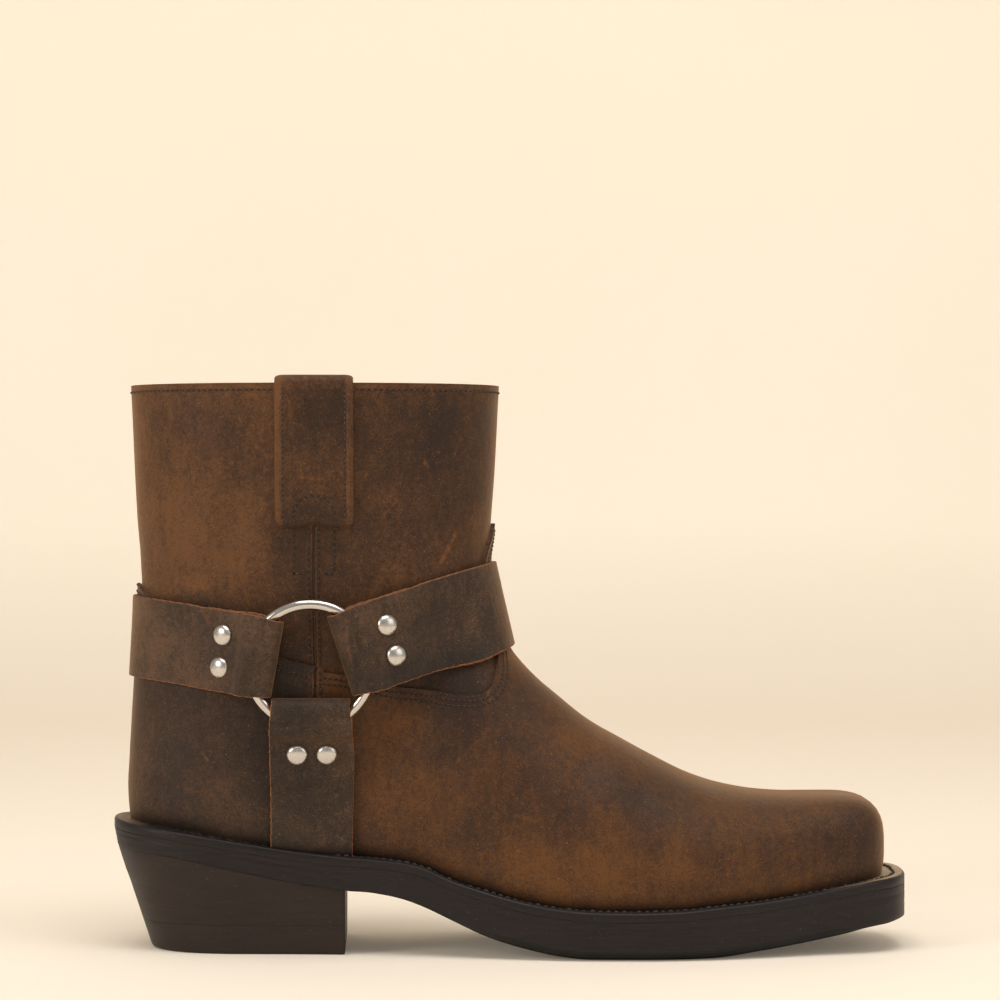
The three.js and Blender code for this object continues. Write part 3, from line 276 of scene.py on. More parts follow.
# Patches of tone on the leather, seen from the side: warm above zero, dark below; most are the
# leather's own colour and a few, marked below, are painted highlight; on the inner side they lie a
# little further back, and the collar's edge is worn warm all round
INNER_SHIFT = 11.0
COLLAR_WEAR = 0.55
TONES = table(
    "x z wide tall tone",
    [
        (-125, 180, 24, 42, 0.12),
        (-119, 149, 15, 16, 0.25),
        (-119, 139, 7, 3, 0.8),
        (-100, 198, 16, 14, -0.35),
        (-41, 203, 34, 16, -0.45),
        (-26, 172, 22, 30, -0.4),
        (-46, 160, 12, 20, 0.25),
        (-16, 205, 5, 24, 0.5),
        # Painted highlight along the back edge of the shaft, where it turns away
        (-143, 180, 4, 40, 0.45),
        (-30, 100, 22, 10, -0.6),
        (-30, 59, 34, 22, 0.55),
        (-49, 82, 14, 22, 0.55),
        (19, 32, 34, 9, 0.7),
        # Painted highlight on the instep
        (20, 92, 20, 12, 0.35),
        (41, 66, 16, 12, -0.35),
        (56, 48, 13, 18, -0.6),
        (62, 37, 8, 9, 0.7),
        (84, 48, 13, 15, 0.25),
        (108, 36, 34, 11, -0.55),
        (120, 60, 28, 6, 0.4),
        (136, 44, 5, 12, -0.5),
        (-118, 59, 11, 7, 0.5),
        (-95, 90, 30, 22, -0.3),
        (-138, 85, 6, 30, 0.3),
        (-4, 70, 14, 16, 0.2),
        (-57, 116, 2.2, 13, -0.6),
        (-62, 112, 2, 12, 0.35),
        (-91, 106, 5, 14, 0.4),
        (-135, 112, 5, 12, 0.3),
        (-34, 128, 16, 7, -0.4),
        (-73, 152, 6, 9, 0.45),
        (-66, 103, 6, 7, 0.5),
        (-20, 108, 9, 6, -0.5),
        # Painted highlight on the instep, in these two rows
        (4, 110, 10, 9, 0.8),
        (34, 79, 22, 8, 0.6),
    ],
)


def smoothstep(value, low, high):
    """Goes from 0 at low to 1 at high along 3 t squared minus 2 t cubed."""
    t = np.clip((value - low) / (high - low), 0, 1)
    return t * t * (3 - 2 * t)


def lerp(a, b, t):
    """Straight from a at t = 0 to b at t = 1."""
    return a + (b - a) * t


def stack(x, y, z):
    """Points from three arrays of the same or of matching shapes."""
    return np.stack(np.broadcast_arrays(x, y, z), -1).astype(float)


def unit(v):
    """Vectors of length one."""
    return v / np.linalg.norm(v, axis=-1, keepdims=True)


def line(rows, key, column):
    """A smooth cubic line through a table's column; each inner slope is the harmonic mean of its
    neighbours', or level where they differ in sign, so it never overshoots its rows."""
    xs, ys = rows[key], rows[column]
    slope = np.diff(ys) / np.diff(xs)
    bend = np.concatenate([slope[:1], np.zeros(len(xs) - 2), slope[-1:]])
    product = slope[:-1] * slope[1:]
    same = product > 0
    bend[1:-1][same] = 2 * product[same] / (slope[:-1] + slope[1:])[same]

    def at(value):
        """The cubic between the two rows on either side, held level past the ends."""
        x = np.clip(value, xs[0], xs[-1])
        i = np.clip(np.searchsorted(xs, x, side="right") - 1, 0, len(xs) - 2)
        h = xs[i + 1] - xs[i]
        t = (x - xs[i]) / h
        flip = 1 - t
        ends = flip * flip * (1 + 2 * t) * ys[i] + t * t * (3 - 2 * t) * ys[i + 1]
        return ends + t * flip * h * (flip * bend[i] - t * bend[i + 1])

    return at


def along(rows, column):
    """A table's column as a function of x in millimetres."""
    share = line(rows, "at", column)
    return lambda x: share(np.asarray(x) / SOLE_LENGTH)


outline_side = {name: along(OUTLINE, name) for name in ("outer", "inner")}
sole_line = {name: along(SOLE_LINE, name) for name in ("seat", "lift", "under", "tip", "roll")}
vamp_edge_share = along(VAMP_EDGE, "up")
counter_edge_share = along(COUNTER_EDGE, "up")


def seat_height(x):
    """Top of the welt: the heel's rise over the ball plus the toe's lift."""
    rise = (SEAT_HEIGHT - BALL_THICKNESS) * sole_line["seat"](x)
    return BALL_THICKNESS + rise + TOE_SPRING * sole_line["lift"](x)


def under_height(x):
    """Underside of the outsole: the heel's height behind, the toe spring in front."""
    return HEEL_HEIGHT * sole_line["under"](x) + TOE_SPRING * sole_line["tip"](x)


def vamp_edge(x):
    """Height of the vamp's upper edge on the side."""
    return TONGUE_PEAK * vamp_edge_share(x)


def counter_edge(x):
    """Height of the counter's upper edge."""
    return COUNTER_PEAK * counter_edge_share(x)


def middle_line(x):
    """The sole's middle line, halfway between its two sides."""
    return BALL_WIDTH * (outline_side["inner"](x) - outline_side["outer"](x)) / 2


class Ruler:
    """Several lines sampled every tenth of a millimetre, read between samples in a straight line."""

    STEP = 0.1

    def __init__(self, low, high, *lines):
        self.low = low
        self.places = np.arange(low, high, self.STEP)
        self.values = np.stack([read(self.places) for read in lines], -1)

    def read(self, value):
        """The value of each line at a place."""
        at = np.clip((value - self.low) / self.STEP, 0, len(self.places) - 1.001)
        i = at.astype(int)
        t = (at - i)[..., None]
        both = self.values[i] * (1 - t) + self.values[i + 1] * t
        return np.moveaxis(both, -1, 0)


foot_top = along(FOOT, "top")
foot_power = along(FOOT, "power")
foot_pinch = along(FOOT, "pinch")


def foot_half(x):
    """Half width of the foot at its widest level, pinched towards the heel."""
    both = outline_side["inner"](x) + outline_side["outer"](x)
    return (BALL_WIDTH * both / 2 - MARGIN_SIDE) * foot_pinch(x)


FOOT_RULER = Ruler(
    -HALF - 40,
    HALF + 40,
    seat_height,
    lambda x: TOE_HEIGHT + (INSTEP_HEIGHT - TOE_HEIGHT) * foot_top(x),
    middle_line,
    foot_half,
    foot_power,
)


def shaft_line(column, size, offset=0):
    """A column of the shaft's table times a size, as a function of z."""
    share = line(SHAFT, "up", column)
    return lambda z: offset + size * share(z / COLLAR_HEIGHT)


shaft_back = shaft_line("back", COLLAR_LENGTH, COLLAR_BACK)
SHAFT_RULER = Ruler(
    -10,
    COLLAR_HEIGHT + 20,
    shaft_back,
    shaft_line("front", COLLAR_LENGTH, COLLAR_BACK),
    shaft_line("outer", COLLAR_WIDTH),
    shaft_line("inner", COLLAR_WIDTH),
    shaft_line("power", 1),
)


def foot_field(x, y, z, foot):
    """Power sum of how far a point lies across, over, ahead of the toe and behind the heel."""
    low, top, middle, wide, power = foot
    rise = z - low
    tuck = FEATHER_TUCK * np.clip(1 - rise / BELLY_HEIGHT, 0, 1) ** 2
    wide = wide - tuck
    tip = HALF - MARGIN_TOE - 0.6 * tuck
    heel = -HALF + MARGIN_BACK + HEEL_ROUND
    across = np.abs(y - middle) / wide
    above = np.maximum(0, rise - BELLY_HEIGHT) / (top - low - BELLY_HEIGHT)
    ahead = np.maximum(0, x - tip + TOE_BOX_ROUND) / TOE_BOX_ROUND
    behind = np.maximum(0, heel - x) / HEEL_ROUND
    total = across**power + above**power + ahead**power + behind**power
    return (total ** (1 / power) - 1) * np.minimum(wide, top - low)


def shaft_field(x, y, z, low):
    """Power sum of how far a point lies from the shaft's axis, fore and aft and across."""
    back, front, outer, inner, power = SHAFT_RULER.read(z)
    tuck = FEATHER_TUCK * np.clip(1 - (z - low) / BELLY_HEIGHT, 0, 1) ** 2
    wide = np.where(y < 0, outer, inner) - tuck
    half = (front - back) / 2 - tuck / 2
    lengthwise = np.abs(x - (front + back) / 2) / half
    total = lengthwise**power + (np.abs(y) / wide) ** power
    return (total ** (1 / power) - 1) * wide


def form(p):
    """The smaller of the foot's and the shaft's fields, run together over the blend."""
    x, y, z = p[..., 0], p[..., 1], p[..., 2]
    foot = FOOT_RULER.read(x)
    a = foot_field(x, y, z, foot)
    b = shaft_field(x, y, z, foot[0])
    mix = np.maximum(0, BLEND - np.abs(a - b))
    return np.minimum(a, b) - mix * mix / (4 * BLEND)


def normal_of(p, step=0.15):
    """The field's slope by differences, made a unit vector."""
    shifts = np.eye(3) * step
    return unit(np.stack([form(p + s) - form(p - s) for s in shifts], -1))


def cast_out(start, direction):
    """Where a ray from inside leaves the form: strides out, then halves the last stride."""
    start, direction = np.broadcast_arrays(start, direction)
    shape = start.shape
    start = start.reshape(-1, 3)
    direction = direction.reshape(-1, 3)
    stride = 4.0
    far = np.full(len(start), stride)
    active = np.arange(len(start))
    for _ in range(2 * SOLE_LENGTH // int(stride)):
        inside = form(start[active] + direction[active] * far[active, None]) < 0
        active = active[inside]
        if not len(active):
            break
        far[active] += stride
    near = far - stride
    for _ in range(17):
        middle = (near + far) / 2
        inside = form(start + direction * middle[:, None]) < 0
        near = np.where(inside, middle, near)
        far = np.where(inside, far, middle)
    return (start + direction * near[:, None]).reshape(shape)


def relief(p):
    """Height of the creases: each a bell across its line, fading at both of its ends."""
    x, y, z = p[..., 0], p[..., 1], p[..., 2]
    total = SWELL * np.sin(x / 17 + z / 23) * np.sin(z / 19 - y / 31 + 1)
    side = np.tanh(y / 12)
    for cx, cz, turn, long, wide, high, which in zip(*CREASES.values()):
        c, s = math.cos(math.radians(turn)), math.sin(math.radians(turn))
        along_it = ((x - cx) * c + (z - cz) * s) / long
        across_it = ((z - cz) * c - (x - cx) * s) / wide
        share = 1 if which == 0 else np.clip(0.5 + 0.5 * which * side, 0, 1)
        total = total + high * share * np.exp(-(across_it**2) - along_it**4)
    settle = smoothstep(z - FOOT_RULER.read(x)[0], 2, 12) * smoothstep(COLLAR_HEIGHT - z, 0, 10)
    return total * settle


def lay_on(p, height):
    """Raises places on the form by a height over the creased leather."""
    return p + normal_of(p) * (height + relief(p))[..., None]


def on_side(x, z, side):
    """Places on one side of the boot, given as they are seen from the side."""
    start = stack(x, middle_line(x) * 0.5, z)
    return cast_out(start, np.array([0.0, SIDE_SIGN[side], 0.0]))


AXIS_X = RING_X  # the shaft's upright axis runs between the rings


def around(turn, z):
    """Places around the shaft: turn 0 is the outer side, a quarter turn the front."""
    angle = np.asarray(turn) * 2 * math.pi
    direction = stack(np.sin(angle), -np.cos(angle), 0 * angle)
    return cast_out(stack(AXIS_X, 0, z), direction)


def on_welt(p, depth, sink=0.15):
    """Puts places on the welt's top, moved in from the wall by a depth and sunk a little."""
    out = normal_of(p)
    out[..., 2] = 0
    moved = p - unit(out) * depth
    moved[..., 2] = seat_height(moved[..., 0]) - sink
    return moved


# Meshes


def sheet_faces(rows, columns, first=0, flip=False):
    """Quads of a grid of points, numbered row by row."""
    r, c = np.meshgrid(np.arange(rows - 1), np.arange(columns - 1), indexing="ij")
    a = first + r * columns + c
    quads = np.stack([a, a + 1, a + columns + 1, a + columns], -1).reshape(-1, 4)
    return quads[:, ::-1] if flip else quads


def slab(outer, inner, walls):
    """The faces between two sheets of one grid, with a wall at each side named: start and end are
    the first and the last row, left and right the first and the last column. The last number of
    each face tells its kind: 0 the outer sheet, 1 the inner one, 2 a cut edge."""
    rows, columns = outer.shape[:2]
    count = rows * columns
    points = np.concatenate([outer.reshape(-1, 3), inner.reshape(-1, 3)])
    numbers = np.arange(count).reshape(rows, columns)
    borders = {
        "start": numbers[0, ::-1],
        "end": numbers[-1],
        "left": numbers[:, 0],
        "right": numbers[::-1, -1],
    }
    faces = [sheet_faces(rows, columns), sheet_faces(rows, columns, count, True)]
    kinds = [0, 1]
    for wall in walls:
        edge = borders[wall]
        a, b = edge[:-1], edge[1:]
        faces.append(np.stack([a, b, b + count, a + count], -1)[:, ::-1])
        kinds.append(2)
    kinds = np.concatenate([np.full(len(f), k) for f, k in zip(faces, kinds)])
    return points, np.concatenate(faces), kinds


def join(parts):
    """One set of points and faces from several."""
    points = np.concatenate([part[0] for part in parts])
    counts = np.cumsum([0] + [len(part[0]) for part in parts[:-1]])
    faces = np.concatenate([part[1] + first for part, first in zip(parts, counts)])
    kinds = np.concatenate([part[2] for part in parts])
    return points, faces, kinds


def tube(rings, closed=False, kinds=None, caps=True):
    """Faces over rings of points, each ring closed; closed joins the last ring to the first."""
    count, around_count = rings.shape[:2]
    numbers = np.arange(count * around_count).reshape(count, around_count)
    numbers = np.concatenate([numbers, numbers[:, :1]], 1)
    if closed:
        numbers = np.concatenate([numbers, numbers[:1]])
    a, b, c, d = numbers[:-1, :-1], numbers[:-1, 1:], numbers[1:, 1:], numbers[1:, :-1]
    faces = np.stack([a, b, c, d], -1).reshape(-1, 4)
    if kinds is None:
        kinds = np.zeros(around_count, int)
    face_kinds = np.tile(kinds, len(faces) // around_count)
    points = rings.reshape(-1, 3)
    if caps and not closed:
        middles = rings[[0, -1]].mean(1)
        first = len(points)
        points = np.concatenate([points, middles])
        ends = []
        for edge, hub, turn in ((numbers[0], first, -1), (numbers[-1], first + 1, 1)):
            pair = np.stack([edge[:-1], edge[1:], np.full(around_count, hub)], -1)[:, ::turn]
            ends.append(np.concatenate([pair, pair[:, -1:]], 1))
        faces = np.concatenate([faces, *ends])
        face_kinds = np.concatenate([face_kinds, np.full(2 * around_count, 2)])
    return points, faces, face_kinds


def weld(points, faces, kinds, grain=2e-3):
    """Merges points that coincide and turns quads with a lost corner into triangles."""
    keys = np.round(points / grain).astype(np.int64)
    _, first, ids = np.unique(keys, axis=0, return_index=True, return_inverse=True)
    faces = ids.reshape(-1)[faces]
    same = faces == np.roll(faces, -1, 1)
    whole = ~same.any(1)
    lists, kept = [faces[whole]], [kinds[whole]]
    for corner in range(4):
        pick = same[:, corner] & (same.sum(1) == 1)
        lists.append(np.delete(faces[pick], corner, 1))
        kept.append(kinds[pick])
    return points[first], lists, np.concatenate(kept)


def volume_of(points, lists):
    """Six times the volume inside a closed surface, from its faces' fans."""
    total = 0
    for faces in lists:
        a = points[faces[:, 0]]
        for k in range(1, faces.shape[1] - 1):
            total += np.einsum("ij,ij->", a, np.cross(points[faces[:, k]], points[faces[:, k + 1]]))
    return total


EDGE_ANGLE = 48  # an edge that turns by more than this is rounded


def mesh_piece(name, shape, materials, slot, nodes=(), bevel=0, tones=True, base=0.0):
    """Makes a closed mesh object in metres, riding on the boot and standing for its nodes. Each
    face takes the material of its kind; base is added to the tone, as a number or a function."""
    points, lists, kinds = weld(*shape)
    if volume_of(points, lists) < 0:
        lists = [faces[:, ::-1] for faces in lists]
    mesh = bpy.data.meshes.new(name)
    mesh.from_pydata((points * MM).tolist(), [], [face for faces in lists for face in faces.tolist()])
    if not isinstance(materials, (list, tuple)):
        materials = [materials]
    for material in materials:
        mesh.materials.append(material)
    mesh.polygons.foreach_set("material_index", np.minimum(kinds, len(materials) - 1).astype(np.int32))
    mesh.polygons.foreach_set("use_smooth", np.ones(len(mesh.polygons), bool))
    if tones:
        lift = base(points) if callable(base) else base
        # The second attribute darkens the leather near the welt: partly dye, partly painted shade
        for title, values in (("tone", tone_at(points) + lift), ("welt_shade_and_dye", welt_shade_and_dye_at(points))):
            mesh.attributes.new(title, "FLOAT", "POINT").data.foreach_set("value", values)
    mesh.update()
    obj = bpy.data.objects.new(name, mesh)
    bpy.context.scene.collection.objects.link(obj)
    if bevel:
        cut = obj.modifiers.new("edges", "BEVEL")
        cut.width = bevel * MM
        cut.segments = 2
        cut.limit_method = "ANGLE"
        cut.angle_limit = math.radians(EDGE_ANGLE)
        cut.harden_normals = False
    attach(obj, "root")
    if nodes:
        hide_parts(*nodes)


def tone_at(p):
    """Sum of bell-shaped patches, seen from the side, some of them painted highlight, and the wear along
    the collar.
    """
    x, y, z = p[..., 0], p[..., 1], p[..., 2]
    shift = np.where(y > 0, INNER_SHIFT, 0.0)
    total = np.zeros(x.shape)
    for cx, cz, wide, tall, tone in zip(*TONES.values()):
        total = total + tone * np.exp(-(((x - cx + shift) / wide) ** 2) - ((z - cz) / tall) ** 2)
    return total + COLLAR_WEAR * smoothstep(z, COLLAR_HEIGHT - 3.5, COLLAR_HEIGHT - 1)


def welt_shade_and_dye_at(p):
    """How near the welt a place is: 1 on it, fading over a few millimetres. The leather is darkened by it,
    partly dark dye and partly painted shade where the upper meets the welt.
    """
    fade = 3.2
    rise = p[..., 2] - seat_height(p[..., 0])
    return np.exp(-np.clip(rise, 0, 60) / fade)


# Materials


def linear(red, green, blue):
    """A colour read as 0 to 255 in sRGB, in the linear values that shaders take."""
    share = np.array([red, green, blue]) / 255
    low = share / 12.92
    high = ((share + 0.055) / 1.055) ** 2.4
    return (*np.where(share <= 0.04045, low, high).tolist(), 1.0)


class Shader:
    """A material's nodes, added one at a time and wired by the sockets they are given."""

    def __init__(self, name):
        self.material = bpy.data.materials.new(name)
        self.material.use_nodes = True
        self.tree = self.material.node_tree
        self.surface = self.tree.nodes["Principled BSDF"]
        self.object_place = self.add("ShaderNodeTexCoord").outputs["Object"]

    def add(self, kind, inputs=None, **settings):
        """A node with its settings made and its sockets fed."""
        node = self.tree.nodes.new(kind)
        for key, value in settings.items():
            setattr(node, key, value)
        for key, value in (inputs or {}).items():
            self.feed(node.inputs[key], value)
        return node

    def feed(self, socket, value):
        """A link where the value is a socket, else a plain value."""
        if isinstance(value, bpy.types.NodeSocket):
            self.tree.links.new(value, socket)
        else:
            socket.default_value = value

    def calc(self, operation, a, b=0.0, c=0.0, clamp=False):
        """One step of arithmetic."""
        inputs = {0: a, 1: b, 2: c}
        return self.add("ShaderNodeMath", inputs, operation=operation, use_clamp=clamp).outputs[0]

    def noise(self, scale, detail=4.0, rough=0.55, place=None):
        """Cloudy noise from 0 to 1; scale is in repeats a metre."""
        inputs = {"Vector": place or self.object_place, "Scale": scale}
        inputs.update({"Detail": detail, "Roughness": rough})
        return self.add("ShaderNodeTexNoise", inputs).outputs["Fac"]

    def stretched(self, scale):
        """The piece's own coordinates, scaled along each axis."""
        inputs = {"Vector": self.object_place, "Scale": scale}
        return self.add("ShaderNodeMapping", inputs).outputs[0]

    def spread(self, value, low, high, to_low=0.0, to_high=1.0):
        """A value's range from low to high spread over another range, and held at its ends."""
        inputs = {0: value, 1: low, 2: high, 3: to_low, 4: to_high}
        return self.add("ShaderNodeMapRange", inputs, clamp=True).outputs[0]

    def mix(self, share, a, b):
        """A colour between two, by a share."""
        return self.add("ShaderNodeMix", {0: share, 6: a, 7: b}, data_type="RGBA").outputs[2]

    def attribute(self, name):
        """A value painted on the piece's points."""
        return self.add("ShaderNodeAttribute", attribute_name=name).outputs["Fac"]

    def bump(self, height, strength, distance, below=None):
        """A bump as deep as the distance in millimetres, on top of another bump."""
        inputs = {"Height": height, "Strength": strength, "Distance": distance * MM}
        if below is not None:
            inputs["Normal"] = below
        return self.add("ShaderNodeBump", inputs).outputs[0]

    def finish(self, **inputs):
        """The material, once its surface's sockets are fed."""
        for key, value in inputs.items():
            self.feed(self.surface.inputs[key.replace("_", " ")], value)
        return self.material


WARM_EDGE = linear(118, 72, 38)


def scratch(shader, start, end, width):
    """1 on a straight mark seen from the outer side, fading over its width, broken up by noise."""
    a = np.array([start[0], 0, start[1]]) * MM
    b = np.array([end[0], 0, end[1]]) * MM
    flat = shader.add("ShaderNodeVectorMath", {0: shader.object_place, 1: (1, 0, 1)}, operation="MULTIPLY")
    off = shader.add("ShaderNodeVectorMath", {0: flat.outputs[0], 1: tuple(a)}, operation="SUBTRACT")
    reach = tuple((b - a) / np.dot(b - a, b - a))
    dot = shader.add("ShaderNodeVectorMath", {0: off.outputs[0], 1: reach}, operation="DOT_PRODUCT")
    share = shader.calc("MULTIPLY", dot.outputs["Value"], 1.0, clamp=True)
    foot = shader.add("ShaderNodeVectorMath", {0: tuple(b - a)}, operation="SCALE")
    shader.feed(foot.inputs["Scale"], share)
    gap = shader.add("ShaderNodeVectorMath", {0: off.outputs[0], 1: foot.outputs[0]}, operation="DISTANCE")
    near = shader.spread(gap.outputs["Value"], width * MM, 0.3 * width * MM)
    outer_side = shader.add("ShaderNodeSeparateXYZ", {0: shader.object_place}).outputs[1]
    here = shader.calc("LESS_THAN", outer_side, 0.0)
    broken = shader.spread(shader.noise(500, 3), 0.38, 0.6)
    return shader.calc("MULTIPLY", shader.calc("MULTIPLY", near, here), broken)


def oiled_leather(name, dark, mid, warm, marks=(), grain=1.0):
    """Oiled nubuck: a ramp from dark to warm driven by patches, cloudy noise and the tone painted on
    the piece, some of it painted highlight; near the welt it is darkened, partly by dye and partly
    by painted shade; fine nap and pores in the bump. Each mark is a start and an end as seen from
    the outer side, a width and a strength."""
    shader = Shader(name)
    cloud = shader.noise(15, 4, 0.5)
    patch = shader.noise(42, 3, 0.5)
    fleck = shader.noise(520, 4, 0.6)
    nap = shader.noise(1900, 3, 0.6)
    brushed = shader.noise(300, 4, 0.55, shader.stretched((1, 1, 0.4)))
    level = shader.calc("MULTIPLY_ADD", shader.attribute("tone"), 0.3, 0.47)
    level = shader.calc("ADD", level, shader.spread(cloud, 0.3, 0.7, -0.24, 0.24))
    level = shader.calc("ADD", level, shader.spread(patch, 0.3, 0.7, -0.17, 0.17))
    level = shader.calc("ADD", level, shader.spread(brushed, 0.3, 0.7, -0.1, 0.1))
    level = shader.calc("ADD", level, shader.spread(fleck, 0.3, 0.7, -0.14, 0.14))
    level = shader.calc("ADD", level, shader.spread(nap, 0.3, 0.7, -0.28, 0.28), clamp=True)
    ramp = shader.add("ShaderNodeValToRGB", {0: level})
    stops = ramp.color_ramp.elements
    stops[0].position, stops[0].color = 0.12, dark
    stops[1].position, stops[1].color = 0.92, warm
    middle = stops.new(0.5)
    middle.color = mid
    colour = ramp.outputs[0]
    dust = shader.spread(shader.noise(1300, 1, 0.5), 0.7, 0.78, 0.0, 0.5)
    colour = shader.mix(dust, colour, linear(140, 104, 74))
    for start, end, width, strength in marks:
        mark = shader.calc("MULTIPLY", scratch(shader, start, end, width), strength)
        colour = shader.mix(mark, colour, WARM_EDGE)
    # Darker near the welt: partly dark dye, partly painted shade where the upper meets the welt
    welt_darkening = shader.spread(shader.attribute("welt_shade_and_dye"), 0.15, 0.9, 0.0, 0.8)
    colour = shader.mix(welt_darkening, colour, linear(14, 9, 7))
    pores = shader.add("ShaderNodeTexVoronoi", {"Vector": shader.object_place, "Scale": 900.0})
    low = shader.bump(patch, 0.4 * grain, 0.6)
    low = shader.bump(fleck, 0.5 * grain, 0.25, low)
    low = shader.bump(pores.outputs["Distance"], 0.22 * grain, 0.06, low)
    low = shader.bump(nap, 0.5 * grain, 0.1, low)
    rough = shader.spread(patch, 0.3, 0.7, 0.48, 0.66)
    return shader.finish(
        Base_Color=colour,
        Roughness=rough,
        Normal=low,
        Specular_IOR_Level=0.22,
        Sheen_Weight=0.4,
        Sheen_Roughness=0.4,
        Sheen_Tint=(0.9, 0.5, 0.24, 1.0),
    )


def cut_edge(name, dyed, bare):
    """The raw edge of a strap or panel: warm tan fibres with dark dye in them."""
    shader = Shader(name)
    fibre = shader.noise(900, 4, 0.7)
    colour = shader.mix(shader.spread(fibre, 0.35, 0.65), dyed, bare)
    return shader.finish(Base_Color=colour, Roughness=0.8, Normal=shader.bump(fibre, 0.6, 0.15))


def lining_leather(name, light, dark):
    """Undyed leather: pale tan with soft stains and a fine grain."""
    shader = Shader(name)
    stain = shader.spread(shader.noise(30, 5), 0.3, 0.7)
    grain = shader.noise(1100, 3)
    colour = shader.mix(stain, light, dark)
    return shader.finish(Base_Color=colour, Roughness=0.65, Normal=shader.bump(grain, 0.3, 0.08))


def black_edge(name, colour, light, rough, ends=False):
    """Dressed sole edge: near black, with fine drawn lines, dust and a satin polish. With ends,
    the leather shows its own tan at the very back, and a pale painted reflection at the toe."""
    shader = Shader(name)
    drawn = shader.noise(60, 6, 0.7, shader.stretched((1.2, 1.2, 22)))
    cloud = shader.noise(40, 5)
    share = shader.spread(drawn, 0.4, 0.75, 0.0, 0.5)
    shade = shader.mix(share, colour, light)
    if ends:
        x = shader.add("ShaderNodeSeparateXYZ", {0: shader.object_place}).outputs[0]
        # At the toe: a pale painted reflection on the glossy welt top
        bare = shader.spread(x, 0.118, 0.142)
        shade = shader.mix(bare, shade, linear(158, 132, 100))
        # At the very back: the leather's own tan
        bare = shader.spread(x, -0.136, -0.146)
        shade = shader.mix(bare, shade, linear(110, 86, 62))
    dust = shader.spread(shader.noise(1400, 2, 0.5), 0.7, 0.78, 0.0, 0.5)
    shade = shader.mix(dust, shade, linear(120, 104, 88))
    low = shader.bump(drawn, 0.2, 0.1)
    low = shader.bump(shader.noise(900, 3), 0.25, 0.05, low)
    return shader.finish(
        Base_Color=shade,
        Roughness=shader.spread(cloud, 0.3, 0.7, rough - 0.07, rough + 0.1),
        Normal=low,
        Specular_IOR_Level=0.32,
    )


def nickel(name, rough, grain):
    """Polished nickel: fine upright wear in its roughness and a faint uneven bump."""
    shader = Shader(name)
    wear = shader.noise(700, 4, 0.6, shader.stretched((1, 1, 6)))
    return shader.finish(
        Base_Color=linear(205, 200, 195),
        Metallic=1.0,
        Roughness=shader.spread(wear, 0.35, 0.7, rough, rough + 0.16),
        Normal=shader.bump(shader.noise(260, 2), grain, 0.05),
    )


def waxed_thread(name, colour, light):
    """Waxed thread: fine noise for its fibres, with painted highlight on their crests."""
    shader = Shader(name)
    fibre = shader.noise(1600, 2)
    # Lighter on the fibres' crests: painted highlight
    shade = shader.mix(shader.spread(fibre, 0.4, 0.65), colour, light)
    return shader.finish(Base_Color=shade, Roughness=0.55, Normal=shader.bump(fibre, 0.5, 0.1))


SHAFT_LEATHER = oiled_leather(
    "shaft_leather",
    linear(42, 30, 24),
    linear(70, 46, 29),
    linear(104, 69, 41),
    marks=[
        ((-25.7, 147.7), (-20.4, 158.5), 1.2, 0.8),
        ((-125, 141), (-114, 138.4), 1.9, 0.6),
        ((-119, 164), (-111, 143), 0.9, 0.4),
        ((-53, 193.8), (-44, 194), 0.5, 0.3),
        ((-33, 187), (-31, 184), 1.0, 0.6),
        ((-78.4, 179.4), (-67.2, 178.9), 0.6, 0.7),
        ((-98, 194), (-91, 188), 1.1, 0.35),
        ((-47, 166), (-42, 171), 0.6, 0.4),
    ],
)
VAMP_LEATHER = oiled_leather(
    "vamp_leather",
    linear(45, 31, 25),
    linear(71, 46, 27),
    linear(101, 64, 31),
    marks=[
        ((-20, 72.5), (-7, 86), 0.7, 0.3),
        ((2, 53), (12, 51.5), 1.2, 0.35),
        ((-8, 99), (-7, 96), 1.6, 0.5),
    ],
)
COUNTER_LEATHER = oiled_leather(
    "counter_leather",
    linear(38, 29, 25),
    linear(58, 43, 34),
    linear(84, 60, 44),
    marks=[((-116, 76.5), (-113.6, 73.2), 0.6, 0.6), ((-122, 62), (-112, 60.5), 1.4, 0.4)],
)
STRAP_LEATHER = oiled_leather(
    "strap_leather",
    linear(38, 31, 27),
    linear(61, 47, 37),
    linear(96, 71, 53),
    grain=1.3,
    marks=[
        ((-115.6, 131), (-112.6, 125.5), 1.3, 0.5),
        ((-61, 122), (-58.5, 108), 0.8, 0.35),
        ((-58.2, 121), (-56, 112), 0.6, 0.3),
        ((-84, 84), (-81, 80), 0.9, 0.3),
    ],
)
STITCH_BAND = oiled_leather(
    "seam_leather", linear(44, 30, 21), linear(80, 50, 29), linear(124, 76, 38)
)
RAW_EDGE = cut_edge("raw_edge", linear(78, 47, 27), linear(160, 102, 58))
PANEL_EDGE = cut_edge("panel_edge", linear(44, 30, 22), linear(104, 70, 46))
LINING = lining_leather("lining", linear(172, 132, 92), linear(142, 104, 70))
INSOLE_LEATHER = lining_leather("insole_leather", linear(186, 148, 104), linear(150, 112, 76))
TREAD = black_edge("tread_rubber", linear(9, 7, 7), linear(18, 14, 13), 0.6)
WELT_EDGE = black_edge("welt_edge", linear(22, 16, 16), linear(42, 32, 30), 0.46)
WELT_TOP = black_edge("welt_top", linear(30, 25, 22), linear(62, 50, 41), 0.5, ends=True)
SOLE_EDGE = black_edge("sole_edge", linear(24, 17, 17), linear(42, 32, 30), 0.5)
HEEL_STACK = black_edge("heel_stack", linear(36, 26, 22), linear(54, 40, 32), 0.47)
CHROME = nickel("ring_nickel", 0.08, 0.04)
RIVET_METAL = nickel("rivet_nickel", 0.22, 0.015)
THREAD = waxed_thread("brown_thread", linear(46, 31, 21), linear(98, 67, 43))
